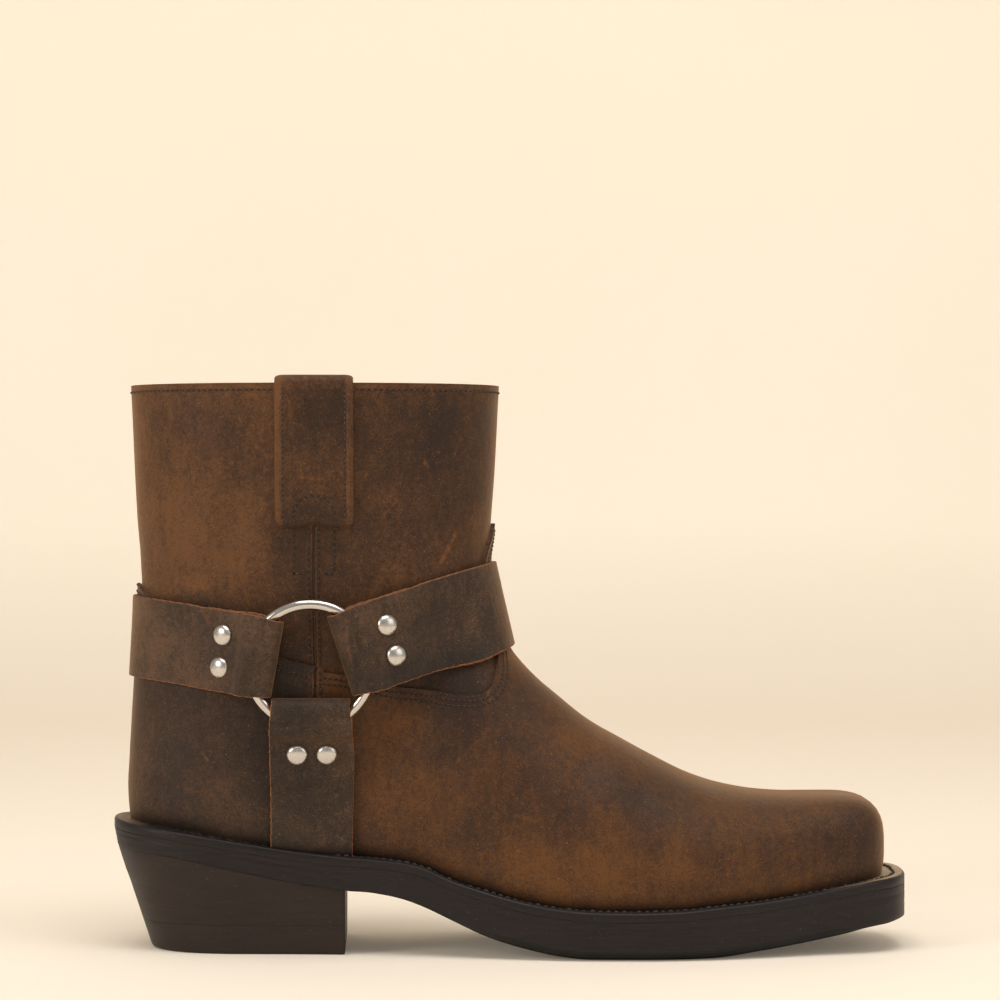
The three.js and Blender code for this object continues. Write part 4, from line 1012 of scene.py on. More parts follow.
# Near-black painted shade for stitch holes and for the groove of the side seam
RECESS_SHADE = waxed_thread("recess_shade", linear(5, 4, 3), linear(12, 8, 6))
WELT_THREAD = waxed_thread("welt_thread", linear(12, 9, 8), linear(44, 38, 34))
# Materials by the kinds of a piece's faces: outer sheet, inner sheet, cut edge
LEATHERS = {
    "shaft": [SHAFT_LEATHER, LINING, RAW_EDGE],
    "vamp": [VAMP_LEATHER, VAMP_LEATHER, PANEL_EDGE],
    "counter": [COUNTER_LEATHER, COUNTER_LEATHER, PANEL_EDGE],
    "strap": [STRAP_LEATHER, STRAP_LEATHER, RAW_EDGE],
    "pull": [SHAFT_LEATHER, SHAFT_LEATHER, SHAFT_LEATHER],
}

# The upper and its panels

FAN_X = 92  # in front of this the upper's sections fan round the toe
HEEL_STRETCH = 16  # the last stretch to the back seam, where sections crowd
START_SHARE = 0.45  # share of a section's height at which its rays start, behind
FEATHER_BACK = float(cast_out(stack(-HALF / 2, 0, SEAT_HEIGHT), np.array([-1.0, 0, 0]))[0])
lean_at = line(LEAN, "at", "lean")


def foot_sections(places):
    """Sections that stand across the foot in front and lean over the instep behind. A section is
    x and z of its foot, its lean, the share of its height at which its rays start, and 1 where
    it stands on the welt."""
    share = (FAN_X - places) / (FAN_X - FEATHER_BACK)
    start = START_SHARE * smoothstep(share, 0.2, 1)
    return np.stack([places, seat_height(places), lean_at(share), start, np.ones(len(places))], -1)


def fan_sections(count):
    """Sections that fan round the toe, from the welt's level up to standing."""
    lean = np.concatenate([[0], np.linspace(13, 90, count)[:-1]])
    rows = np.zeros((len(lean), 5))
    rows[:] = (FAN_X, seat_height(FAN_X), 0, 0, 1)
    rows[:, 2] = lean
    return rows


def shaft_sections(count):
    """Sections that rise up the back seam and come level at the collar."""
    share = np.arange(1, count + 1) / count
    z = lerp(seat_height(FEATHER_BACK), COLLAR_HEIGHT, share)
    return np.stack([shaft_back(z), z, BACK_LEAN * (1 - share), 0 * z + START_SHARE, 0 * z], -1)


def section_points(sections, shares):
    """One row of places per section: rays in its plane, turned from the outer feather over the
    top to the inner one, or all round from the back seam on the shaft."""
    x, z, lean, start_share, floor = sections.T
    lean = np.radians(lean)
    up = stack(np.cos(lean), 0, np.sin(lean))
    low = stack(x, np.where(floor > 0, middle_line(x), 0), z)
    length = np.linalg.norm(cast_out(low + up, up) - low, axis=-1)
    high = start_share * length
    start = low + up * high[:, None]
    across = np.array([0.0, 1.0, 0.0])
    outer = start[:, 1] - cast_out(low, -across)[:, 1]
    inner = cast_out(low, across)[:, 1] - start[:, 1]
    first = np.where(floor > 0, -np.arctan2(high, outer), -math.pi / 2)
    last = np.where(floor > 0, math.pi + np.arctan2(high, inner), 1.5 * math.pi)
    angle = lerp(first[:, None], last[:, None], shares)
    direction = -np.cos(angle)[..., None] * across + np.sin(angle)[..., None] * up[:, None, :]
    return cast_out(start[:, None, :], direction)


def laid(grid, height, feather):
    """A sheet of leather at a height; feather marks the places that stand on the welt."""
    raised = lay_on(grid, height)
    return np.where(feather[..., None], on_welt(grid, -height), raised)


def make_upper():
    """The upper's wall: the form itself outside and a wall's thickness in, from the welt to the
    collar, over all sections."""
    near = np.linspace(FAN_X, FEATHER_BACK + HEEL_STRETCH, 62)
    heel = FEATHER_BACK + HEEL_STRETCH * (1 - np.linspace(0, 1, 14)[1:]) ** 1.8
    sections = np.concatenate(
        [fan_sections(24), foot_sections(np.concatenate([near, heel])), shaft_sections(96)]
    )
    columns = 168
    grid = section_points(sections, np.linspace(0, 1, columns + 1))
    on_floor = sections[:, 4] > 0
    feather = np.zeros(grid.shape[:2], bool)
    feather[0] = True
    feather[on_floor, 0] = True
    feather[on_floor, -1] = True
    outer = laid(grid, 0, feather)
    inner = np.where(feather[..., None], on_welt(grid, WALL), lay_on(grid, -WALL))
    outer[-1, :, 2] = COLLAR_HEIGHT
    inner[-1, :, 2] = COLLAR_HEIGHT
    shape = slab(outer, inner, ["start", "end", "left", "right"])
    kinds = np.where(shape[2] == 2, 0, shape[2])
    mesh_piece(
        "upper_leather", (*shape[:2], kinds), LEATHERS["shaft"], "upper_leather", ["upper"], bevel=0.7
    )


CORNER_X = float(SOLE_LENGTH * VAMP_EDGE["at"][-1])
CORNER_Z = float(vamp_edge(CORNER_X))
WING_STEPS = 56
TONGUE_STEPS = 44
TONGUE_AXIS = -60  # the tongue is cast by rays from an upright line here
TURN_FADE = 110  # above this height the tongue's edge begins to follow its width


def corner_section():
    """The place of the section whose plane passes the corner between wing and tongue, by halving."""
    low, high = -90.0, 30.0
    for _ in range(40):
        middle = (low + high) / 2
        x, z, lean = foot_sections(np.array([middle]))[0, :3]
        passes = x + (CORNER_Z - z) / math.tan(math.radians(lean))
        low, high = (middle, high) if passes < CORNER_X else (low, middle)
    return middle


def turn_of(p):
    """The way from the tongue's upright axis to a place, 0 straight ahead."""
    return np.arctan2(p[..., 1], p[..., 0] - TONGUE_AXIS)


def tongue_edge(rise, side):
    """The way to the tongue's edge: by its place seen from the side low down, by its width above."""
    z = lerp(CORNER_Z, TONGUE_PEAK, rise)
    low = on_side(line(TONGUE_TURN, "z", "x")(z), z, side)
    half = TONGUE_WIDTH / 2 * line(TONGUE, "up", "half")(rise)
    high = cast_out(stack(AXIS_X, SIDE_SIGN[side] * half, z), np.array([1.0, 0, 0]))
    return lerp(turn_of(low), turn_of(high), smoothstep(z, TURN_FADE, TONGUE_TURN["z"][-1]))


def vamp_wing(root, side):
    """A wing: from its root on the front back to the seam, each place keeping its share of the
    height between the welt and the vamp's edge."""
    share = np.linspace(0, 1, 42)[:, None]
    low_x = root[0, 0]
    place = lerp(low_x, PANEL_SEAM + GAP / 2, share)
    x = place + (root[:, 0] - low_x) * (1 - share)
    seat = seat_height(root[:, 0])
    up = np.clip((root[:, 2] - seat) / (vamp_edge(root[:, 0]) - seat), 0, 1)
    up[-1] = 1
    wing = on_side(x, lerp(seat_height(x), vamp_edge(x), up), side)
    wing[0] = root
    return wing


def vamp_patches():
    """The front over the toe and instep, the tongue up to its peak and a wing on each side back
    to the seam, all as places on the form."""
    last = foot_sections(np.array([corner_section()]))
    fine = np.linspace(0, 1, 601)
    top = len(fine) // 2
    z = section_points(last, fine)[0, :, 2]
    left = np.interp(CORNER_Z, z[:top], fine[:top])
    right = np.interp(-CORNER_Z, -z[top:], fine[top:])
    shares = np.concatenate(
        [
            np.linspace(0, left, WING_STEPS + 1),
            np.linspace(left, right, TONGUE_STEPS + 1)[1:],
            np.linspace(right, 1, WING_STEPS + 1)[1:],
        ]
    )
    rows = np.concatenate([fan_sections(36), foot_sections(np.linspace(FAN_X, last[0, 0], 66))])
    front = section_points(rows, shares)
    edge = front[-1]
    root = edge[WING_STEPS : WING_STEPS + TONGUE_STEPS + 1]
    rise = np.linspace(0, 1, 61)[:, None] ** 1.7
    z = lerp(root[:, 2], TONGUE_PEAK, rise)
    edges = [tongue_edge(rise[:, 0], side)[:, None] for side in ("outer", "inner")]
    turned = turn_of(root)
    root_share = (turned - turned[0]) / (turned[-1] - turned[0])
    even_share = np.linspace(0, 1, TONGUE_STEPS + 1)
    share = lerp(root_share, even_share, smoothstep(rise, 0, 0.3))
    angle = lerp(edges[0], edges[1], share)
    tongue = cast_out(stack(TONGUE_AXIS, 0, z), stack(np.cos(angle), np.sin(angle), 0))
    tongue[0] = root
    wings = {
        "outer": vamp_wing(edge[: WING_STEPS + 1], "outer"),
        "inner": vamp_wing(edge[: -WING_STEPS - 2 : -1], "inner"),
    }
    return front, tongue, wings


def panel(grid, walls, feather=()):
    """A panel over the upper, as thick as its leather; feather names the sides on the welt."""
    marks = np.zeros(grid.shape[:2], bool)
    places = {"start": np.s_[0, :], "left": np.s_[:, 0], "right": np.s_[:, -1]}
    for side in feather:
        marks[places[side]] = True
    outer = laid(grid, GAP + OVERLAY, marks)
    inner = laid(grid, 0.05, marks)
    return slab(outer, inner, walls)


def make_vamp():
    """The vamp's patches as one panel, and the line of its upper edge for the stitches."""
    front, tongue, wings = vamp_patches()
    parts = [
        panel(front, ["start", "left", "right"], ["start", "left", "right"]),
        panel(tongue, ["left", "right", "end"]),
        panel(wings["outer"], ["left", "right", "end"], ["left"]),
    ]
    mirrored = wings["inner"][:, ::-1]
    parts.append(panel(mirrored, ["left", "right", "end"], ["right"]))
    mesh_piece(
        "vamp_leather", join(parts), LEATHERS["vamp"], "upper_leather", ["vamp"], bevel=0.45, base=0.12
    )
    edge = [wings["outer"][::-1, -1], tongue[1:, 0], tongue[-2::-1, -1], wings["inner"][1:, -1]]
    return np.concatenate(edge)


def make_counter():
    """The counter: rays around the heel from seam to seam, up to its own edge, which is found
    by reading the edge's height at the place last reached, five times."""
    turn = -0.002 - 0.496 * np.linspace(0, 1, 161)
    top = around(turn, 0 * turn + SEAT_HEIGHT + 60)
    for _ in range(5):
        top = around(turn, counter_edge(np.minimum(top[:, 0], PANEL_SEAM)))
    share = np.linspace(0, 1, 60)[:, None]
    z = lerp(seat_height(top[:, 0]), top[:, 2], share)
    grid = around(turn + 0 * z, z)
    for column, side in ((0, "outer"), (-1, "inner")):
        x = np.full(len(share), PANEL_SEAM - GAP / 2)
        z_side = lerp(seat_height(x), counter_edge(x), share[:, 0])
        grid[:, column] = on_side(x, z_side, side)
    mesh_piece(
        "counter_leather",
        panel(grid, ["start", "end", "left", "right"], ["start"]),
        LEATHERS["counter"],
        "upper_leather",
        ["heel_counter"],
        bevel=0.45,
        base=-0.25,
    )
    return grid[-1]


# The sole


def sole_reach(x, side, inset):
    """Half width of the sole inside margins at the toe, the back and the sides: the outline's
    width times a power curve that rounds each end."""
    toe_inset, back_inset, side_inset = inset
    front = HALF - toe_inset
    back = -HALF + back_inset
    wide = BALL_WIDTH * outline_side[side](x) - side_inset
    toe = np.clip((x - front + TOE_ROUND) / TOE_ROUND, 0, 1)
    heel = np.clip((back + HEEL_ROUND - x) / HEEL_ROUND, 0, 1)
    lean = BALL_WIDTH * (outline_side["inner"](HALF) - outline_side["outer"](HALF)) / 2
    middle = SIDE_SIGN[side] * lean * smoothstep(x, front - TOE_ROUND, front)
    toe_share = (1 - toe**TOE_POWER) ** (1 / TOE_POWER)
    heel_share = (1 - heel**HEEL_POWER) ** (1 / HEEL_POWER)
    return (wide - middle) * toe_share * heel_share + middle


def station_places(inset, count):
    """Places along the sole, far closer at its ends where the outline turns across."""
    turn = np.linspace(0, math.pi, count)
    share = (1 - np.cos(turn)) / 2
    share = lerp(share, smoothstep(share, 0, 1), 0.5)
    return lerp(-HALF + inset[1], HALF - inset[0], share)


STATIONS = 260  # places along the sole's outline, on each side


def sole_loop(inset, places=None):
    """The outline inside an inset: out along the outer side to the toe, back along the inner."""
    x = station_places(inset, STATIONS) if places is None else places
    outer = np.stack([x, -sole_reach(x, "outer", inset)], -1)
    inner = np.stack([x, sole_reach(x, "inner", inset)], -1)
    return np.concatenate([outer, inner[::-1]])


def even(inset):
    """The same inset at the toe, the back and the sides."""
    return (inset, inset, inset)


def levels(rows):
    """Rings of points: for each row an inset loop and a height over it."""
    rings = []
    for inset, height in rows:
        loop = sole_loop(inset)
        rings.append(np.concatenate([loop, height(loop[:, 0])[:, None]], 1))
    return np.array(rings)


def capped(rings, below, columns=24):
    """The side wall over rings of the outline, closed above and below by sheets that run across
    from the outer to the inner side; the first strips, as many as below says, and the sheets
    are of the second kind."""
    half = rings.shape[1] // 2
    points, faces, kinds = tube(rings, caps=False)
    kinds[: below * rings.shape[1]] = 1
    parts = [(points, faces, kinds)]
    for ring, flip in ((rings[0], True), (rings[-1], False)):
        outer, inner = ring[:half], ring[half:][::-1]
        share = np.linspace(0, 1, columns + 1)[None, :, None]
        grid = outer[:, None] + (inner - outer)[:, None] * share
        faces = sheet_faces(half, columns + 1, flip=flip)
        parts.append((grid.reshape(-1, 3), faces, np.ones(len(faces), int)))
    return join(parts)


def wave(loop_x, size):
    """A small uneven run along the sole's edge, from three sines."""
    return size * (np.sin(loop_x / 3.1) + np.sin(loop_x / 7.7 + 1) + np.sin(loop_x / 1.7 + 2)) / 3


def make_welt():
    """The welt: its cross-section, a strip with a rounded outer edge and a stitch channel near the
    upper, carried round the outline. A row is an inset from the outline and a height."""
    profile = [
        (0.2, -WELT_THICKNESS),
        (0.05, -WELT_THICKNESS + 0.08),
        (0, -WELT_THICKNESS + 0.2),
        (0, -1.0),
        (0.25, -0.35),
        (0.9, -0.05),
        (2.2, 0),
        (3.4, 0),
        (4.2, -0.35),
        (5.2, -0.35),
        (6, 0),
        (WELT_WIDTH, 0),
        (WELT_WIDTH, -WELT_THICKNESS),
    ]

    def level(rise):
        """A height over the welt's top line, a little uneven."""
        return lambda x: seat_height(x) + rise + wave(x, 0.05)

    rings = levels([(even(inset), level(rise)) for inset, rise in profile])
    points, faces, _ = tube(rings, closed=True)
    kinds = np.repeat([0, 0, 0, 0, 0, 1, 1, 1, 1, 1, 1, 0, 0], rings.shape[1])
    shape = (points, faces, kinds)
    mesh_piece("welt_strip", shape, [WELT_EDGE, WELT_TOP], "welt_leather", ["welt"], tones=False)


def make_outsole():
    """The outsole: levels from the chamfered lower edge up its side, with drawn lines in it."""

    def edge(x):
        """Where the side meets the chamfer, which narrows towards the toe."""
        sharp = lerp(1, 0.12, smoothstep(x, HALF - 34, HALF - 8))
        return under_height(x) + SOLE_BEVEL * sharp * sole_line["roll"](x)

    def top(x):
        """Just under the welt."""
        return seat_height(x) - WELT_THICKNESS - 0.02

    def side(share):
        """A level at a share of the side's height."""
        return lambda x: lerp(np.minimum(edge(x) + 0.05, top(x) - 1), top(x), share)

    def chamfer(share):
        """A level of the chamfer: its inset shrinks along a power curve, its edge a little uneven."""
        inset = CHAMFER_REACH * (1 - share) ** 1.3
        back = inset + BACK_SLANT
        return (inset, back, inset), lambda x: lerp(under_height(x), edge(x), share) + wave(x, 0.15 * share)

    below = [chamfer(share) for share in (0, 0.3, 0.6, 0.85, 0.97, 1)]
    lines = [
        (0.12, 0),
        (0.35, 0.02),
        (0.42, 0.06),
        (0.45, 0.06),
        (0.5, 0),
        (0.72, 0),
        (0.75, 0.09),
        (0.77, 0.09),
        (0.8, 0),
        (0.96, 0),
        (0.99, 0.03),
        (1, 0.14),
    ]
    above = [((inset, inset + BACK_SLANT * (1 - share), inset), side(share)) for share, inset in lines]
    shape = capped(levels(below + above), len(below) - 1)
    mesh_piece("outsole_plate", shape, [SOLE_EDGE, TREAD], "sole_rubber", ["outsole"], tones=False)


HEEL_STEPS = 110
HEEL_EASE = 0.1  # the heel lies this far inside the outsole


def heel_rings(rows):
    """Rings of the heel: the outline up to the breast, closed straight across it, then inset; the
    breast runs a little back towards the inner side. A row is the share of the way down, which
    brings the undercut and the taper, a shrink all round, and a height."""
    rings = []
    for share, shrink, height in rows:
        back = BACK_SLANT + HEEL_EASE + (HEEL_UNDERCUT + 0.1) * share + shrink
        inset = (0, back, HEEL_EASE + (HEEL_TAPER + 0.9) * share + shrink)
        turn = np.linspace(0, math.pi / 2, HEEL_STEPS)
        loops = {}
        for side, meet in BREAST_TURN.items():
            breast = -HALF + HEEL_LENGTH - shrink + meet
            loops[side] = sole_loop(inset, lerp(-HALF + back, breast, 1 - np.cos(turn)))
        outer, inner = loops["outer"][:HEEL_STEPS], loops["inner"][HEEL_STEPS:]
        front = lerp(outer[-1], inner[0], np.linspace(0, 1, 30)[1:-1, None])
        loop = np.concatenate([outer, front, inner])
        rings.append(np.concatenate([loop, height(loop[:, 0])[:, None]], 1))
    return np.array(rings)


def heel_body(rings):
    """The heel's wall over its rings, with flat caps drawn in to a middle line."""
    middle = rings.copy()[[0, -1]]
    middle[..., 1] *= 0.02
    middle[..., 0] = lerp(-HALF / 2 - 25, middle[..., 0], 0.75)
    return tube(np.concatenate([middle[:1], rings, middle[1:]]))


LAYER_LINES = (16, 20.5, 25)
WEDGE_Z = 26.2  # from this height the heel follows the outsole
WEDGE_SHARE = 0.32  # share of the undercut at the wedge's foot


def make_heel():
    """The stacked heel and its top lift: insets grow downward by the undercut and the taper, and
    fine lines are drawn between the layers. Above them a wedge follows the outsole."""
    low = TOP_LIFT + 0.02

    def level(z, shrink):
        """A level straight across at a height."""
        return 1 - z / HEEL_HEIGHT, shrink, lambda x: 0 * x + z

    def wedge(part, shrink):
        """A level part of the way from the layers up to the outsole's underside."""

        def height(x):
            """From the wedge's foot towards the underside."""
            return lerp(WEDGE_Z + 0 * x, under_height(x) - 0.02, part)

        return WEDGE_SHARE * (1 - part), shrink, height

    rows = [level(low, 0.07), level(low + 0.15, 0)]
    for z in LAYER_LINES:
        rows += [level(z - 0.3, 0), level(z, 0.05), level(z + 0.3, 0)]
    rows += [wedge(0.3, 0), wedge(0.7, 0), wedge(0.99, 0), wedge(1, 0.04)]
    lift_rows = [level(z, shrink) for z, shrink in ((0, 1.1), (0.25, 0.45), (0.9, 0.1), (1.6, 0), (5, 0))]
    lift_rows += [level(TOP_LIFT - 0.15, 0), level(TOP_LIFT, 0.05)]
    for name, heel_rows, slot, node in (
        ("heel_layers", rows, "heel_stack", "heel_block"),
        ("top_lift_layer", lift_rows, "sole_rubber", "top_lift"),
    ):
        mesh_piece(name, heel_body(heel_rings(heel_rows)), HEEL_STACK, slot, [node], tones=False)


INSOLE_TOP = 3.1  # over the welt's top line
INSOLE_UNDER = 3.4  # under it
INSOLE_CUP = 1.4  # how far its edges turn up


def make_insole():
    """The insole: the feather line moved in, slightly cupped towards its edge."""
    x = station_places((11, 13.5, 0), 150)
    low = stack(x, middle_line(x), seat_height(x))
    edges = []
    for sign in (-1.0, 1.0):
        wall = cast_out(low, np.array([0.0, sign, 0.0]))
        edges.append(on_welt(wall, WALL + 0.8)[:, :2])
    share = np.linspace(0, 1, 41)[None, :]
    flat = edges[0][:, None] + (edges[1] - edges[0])[:, None] * share[..., None]
    cup = INSOLE_CUP * (2 * share - 1) ** 4 + 0 * flat[..., 0]
    top = np.concatenate([flat, (seat_height(flat[..., 0]) + INSOLE_TOP + cup)[..., None]], -1)
    bottom = np.concatenate([flat, (seat_height(flat[..., 0]) - INSOLE_UNDER)[..., None]], -1)
    mesh_piece(
        "insole_sock",
        slab(top, bottom, ["start", "end", "left", "right"]),
        INSOLE_LEATHER,
        "insole_leather",
        ["insole"],
        tones=False,
    )


# The harness

WIRE_HALF = RING_WIRE / 2
POCKET = WIRE_HALF + GAP
RING_TRACK = (RING_DIAMETER - RING_WIRE) / 2
OVER_PANEL = GAP + OVERLAY + STRAP_EASE
POCKET_END = RING_DIAMETER / 2 + GAP
MERGE_S = POCKET_END + 3.6
SETTLE_S = STRAP_TAIL + 7


def ring_plane(side):
    """The ring's plane leans with the shaft's side and clears it by a panel and a strap's layer."""
    out = SIDE_SIGN[side]
    shares = np.array([-1, -0.5, 0, 0.5, 1]) * RING_TRACK
    dx, dz = np.meshgrid(shares, shares, indexing="ij")
    reach = out * on_side(RING_X + dx, RING_Z + dz, side)[..., 1]
    slope = (reach[2, 4] - reach[2, 0]) / (2 * RING_TRACK)
    clear = (reach - slope * dz).max() + OVER_PANEL + STRAP_THICKNESS + POCKET
    return {
        "centre": np.array([RING_X, out * clear, RING_Z]),
        "up": unit(np.array([0, out * slope, 1.0])),
        "out": unit(np.array([0, out, -slope])),
    }


RING_PLANES = {side: ring_plane(side) for side in SIDE_SIGN}


def in_plane(side, forward, high, level):
    """Places in a ring's plane: forward and up from its centre and a level out of it."""
    plane = RING_PLANES[side]
    forward, high, level = np.broadcast_arrays(forward, high, level)
    moved = stack(forward, 0 * forward, 0 * forward)
    return plane["centre"] + moved + high[..., None] * plane["up"] + level[..., None] * plane["out"]


def fold_place(strap):
    """Where the inside of the fold lies on the wire, which crosses the strap's edges aslant."""
    edge = math.sqrt(RING_TRACK**2 - (strap["fold"] / 2) ** 2)
    return edge - WIRE_HALF * RING_TRACK / edge - GAP


def settled(strap, s):
    """Share of a strap that has left the ring's plane for the upper."""
    return smoothstep(s, POCKET_END - 3, strap["settle"])


def pocket_at(s):
    """Half the space between the two layers of a folded end."""
    return POCKET * (1 - smoothstep(s, POCKET_END, MERGE_S)) * (s < MERGE_S)


def tail_lift(s):
    """How far the outer layer is held up by the folded end under it."""
    return STRAP_THICKNESS * (1 - smoothstep(s, STRAP_TAIL, SETTLE_S))


def strap_width(strap, s):
    """The strap's width, drawn in a little at the fold."""
    return lerp(strap["fold"], strap["width"], smoothstep(s, fold_place(strap), RING_TRACK))


class Band:
    """A strap round the boot between the rings. Its height climbs from a ring to its middle along
    a cubic that starts with the steepness given and comes level in the middle. lift is how far it
    lies over the form, tone its own tone."""

    def __init__(self, name, direction, middle_z, steepness, lift, tone):
        self.strap = STRAPS[name]
        self.tone = tone
        self.direction = direction
        self.rise = middle_z - RING_Z
        self.lift = lift
        turn = direction * np.linspace(0, 0.5, 161)
        places = around(turn, 0 * turn + (STRAP_FRONT_Z + STRAP_BACK_Z) / 2)
        steps = np.linalg.norm(np.diff(places, axis=0), axis=-1)
        self.reach = np.concatenate([[0], np.cumsum(steps)])
        self.turn = turn
        self.half = self.reach[80]
        self.whole = self.reach[-1]
        self.steep = steepness * self.half / self.rise
        self.tilt = math.atan(steepness)

    def height(self, reach):
        """The height of the strap's middle: the cubic from either ring to the middle."""
        u = reach / self.half
        v = np.where(u > 1, (self.whole - reach) / (self.whole - self.half), u)
        curve = self.steep * v + (3 - 2 * self.steep) * v**2 + (self.steep - 2) * v**3
        return RING_Z + self.rise * curve

    def skin(self, s, c):
        """The place on the form under the strap, s along it and c across it."""
        slope = np.arctan(self.height(s + 0.5) - self.height(s - 0.5))
        reach = np.clip(s - c * np.sin(slope), 0, self.whole)
        return around(np.interp(reach, self.reach, self.turn), self.height(s) + c * np.cos(slope))

    def place(self, side, near, c, level):
        """A point of the strap, between the ring's plane and the upper as far as it has settled."""
        forward = self.direction * (near * math.cos(self.tilt) - c * math.sin(self.tilt))
        high = near * math.sin(self.tilt) + c * math.cos(self.tilt)
        flat = in_plane(side, forward, high, level)
        s = near if side == "outer" else self.whole - near
        height = self.lift(self, s) + tail_lift(near) + level
        skin = lay_on(self.skin(s, c), height)
        return lerp(flat, skin, settled(self.strap, near)[..., None])


class Drop:
    """The down strap: straight down from a ring into the welt."""

    strap = STRAPS["down"]

    def place(self, side, near, c, level):
        """A point of the strap, between the ring's plane and the upper, and at last on the welt."""
        forward, high = np.broadcast_arrays(c, -near)
        flat = in_plane(side, forward, high, level)
        x = RING_X + c
        low = seat_height(x)
        z = np.maximum(RING_Z - near, low - 0.2)
        skin = lay_on(on_side(x, z, side), OVER_PANEL + tail_lift(near) + level)
        placed = lerp(flat, skin, settled(self.strap, near)[..., None])
        at_welt = RING_Z - near <= low
        placed[..., 2] = np.where(at_welt, low - 0.2, placed[..., 2])
        return placed


TONGUE_REACH = 30  # from the front strap's middle to where it leaves the tongue


def front_lift(band, s):
    """The front strap lies on the shaft, climbs on to the tongue, and is held up by the panel."""
    away = np.abs(s - band.half)
    return lerp(OVER_PANEL - 0.8, STRAP_EASE - 0.25, smoothstep(away, TONGUE_REACH - 12, TONGUE_REACH))


def back_lift(band, s):
    """The back strap lies on the counter, pressed into it behind."""
    away = np.abs(s - band.half)
    return OVER_PANEL - 0.3 - 0.9 * (1 - smoothstep(away, 25, 55))


# Names and directions: 1 goes round the front of the boot, -1 round the back
FRONT = Band("front", 1, STRAP_FRONT_Z, 0.32, front_lift, -0.1)
BACK = Band("back", -1, STRAP_BACK_Z, 0.18, back_lift, 0.4)
DROP = Drop()


def strap_profile():
    """A strap's cross-section as places across (share of half the width, and millimetres in from
    it) and through it: rounded corners, and a cut edge at each side."""
    across = np.linspace(-1, 1, 17)
    corner = np.radians([75, 50, 25])
    radius = 0.55
    half = STRAP_THICKNESS / 2
    share, inward, through, kinds = [], [], [], []

    def add(shares, inwards, throughs, kind):
        """A stretch of the section, all of one kind."""
        share.extend(shares)
        inward.extend(inwards)
        through.extend(throughs)
        kinds.extend([kind] * len(shares))

    add(across, -radius * across, 0 * across + half, 0)
    ins = radius * (1 - np.cos(corner))
    outs = half - radius * (1 - np.sin(corner))
    add(np.ones(3), -ins, outs, 2)
    add(np.ones(3), -ins[::-1], -outs[::-1], 2)
    add(across[::-1], -radius * across[::-1], 0 * across - half, 1)
    add(-np.ones(3), ins, -outs, 2)
    add(-np.ones(3), ins[::-1], outs[::-1], 2)
    kinds[len(across)] = 0
    kinds[-1] = 0
    return np.array(share), np.array(inward), np.array(through), np.array(kinds)


PROFILE = strap_profile()


def folded_end(strap):
    """Stations from the tail under the strap, round the wire and out again: the place along the
    strap, the level of the layer's middle, and the way its outer face looks, along and up."""
    half = STRAP_THICKNESS / 2
    centre = fold_place(strap) + POCKET
    inner_s = np.concatenate(
        [np.linspace(STRAP_TAIL, POCKET_END, 24), np.linspace(POCKET_END, centre, 12)[1:]]
    )
    angle = np.radians(np.linspace(-90, 90, 15)[1:-1])
    radius = POCKET + half
    turn_s = centre - radius * np.cos(angle)
    turn_level = radius * np.sin(angle)
    outer_s = inner_s[::-1]
    s = np.concatenate([inner_s, turn_s, outer_s])
    level = np.concatenate([-pocket_at(inner_s) - half, turn_level, pocket_at(outer_s) + half])
    look_s = np.concatenate([0 * inner_s, -np.cos(angle), 0 * outer_s])
    look_up = np.concatenate([0 * inner_s - 1, np.sin(angle), 0 * outer_s + 1])
    return s, level, look_s, look_up


def wrinkle(s, c):
    """Small ridges across a strap where it bends round the wire, and a slow wave along it."""
    bend = 0.3 * np.sin(s * 1.15 + 0.12 * c) * np.exp(-(((s - 21) / 7) ** 2))
    ridge = 0.35 * np.exp(-(((s - 26 - 0.1 * c) / 2.2) ** 2))
    trough = 0.3 * np.exp(-(((s - 38 + 0.12 * c) / 3) ** 2))
    return bend + (ridge - trough) + 0.22 * np.sin(s / 9 + c / 14) * smoothstep(s, 18, 40)


def straighten(path, rings, share, near):
    """Over the hollow of the instep the strap goes straight across between its edges: each layer
    of the cross-section is drawn to the chord between its ends."""
    pull = 1 - smoothstep(np.abs(path.half - near), 0.5 * TONGUE_REACH, TONGUE_REACH + 8)
    chord = rings.copy()
    for picked in (PROFILE[2] > 0, PROFILE[2] < 0):
        ends = rings[:, picked]
        first, last = ends[:, np.argmin(share[picked])], ends[:, np.argmax(share[picked])]
        at = ((share[picked] + 1) / 2)[None, :, None]
        chord[:, picked] = lerp(first[:, None], last[:, None], at)
    return lerp(rings, chord, (pull * (np.abs(share) < 1))[..., None])


# Where the front strap's lower edge hangs a little lower, on its way on to the vamp
HANG = 1.4
HANG_AT = 52
HANG_REACH = 16


def strap_rings(path, side, s, level, look_s, look_up):
    """The cross-section set at each station and turned to the way the layer looks; its width
    wavers a little, as a hand-cut edge does."""
    share, inward, through, _ = PROFILE
    width = strap_width(path.strap, s)[:, None] / 2
    ragged = 0.14 * np.sin(s * 2.3)[:, None] * np.sin(s * 0.71 + 1)[:, None]
    c = share * (width + ragged) + inward
    if path is FRONT:
        c = c + HANG * np.minimum(share, 0) * np.exp(-(((s - HANG_AT) / HANG_REACH) ** 2))[:, None]
    outer_face = (through > 0) * np.clip(look_up, 0, 1)[:, None]
    rise = outer_face * wrinkle(s[:, None] + 0 * c, c)
    near = s[:, None] + through * look_s[:, None]
    rings = path.place(side, near, c, level[:, None] + through * look_up[:, None] + rise)
    return straighten(path, rings, share, near) if path is FRONT else rings


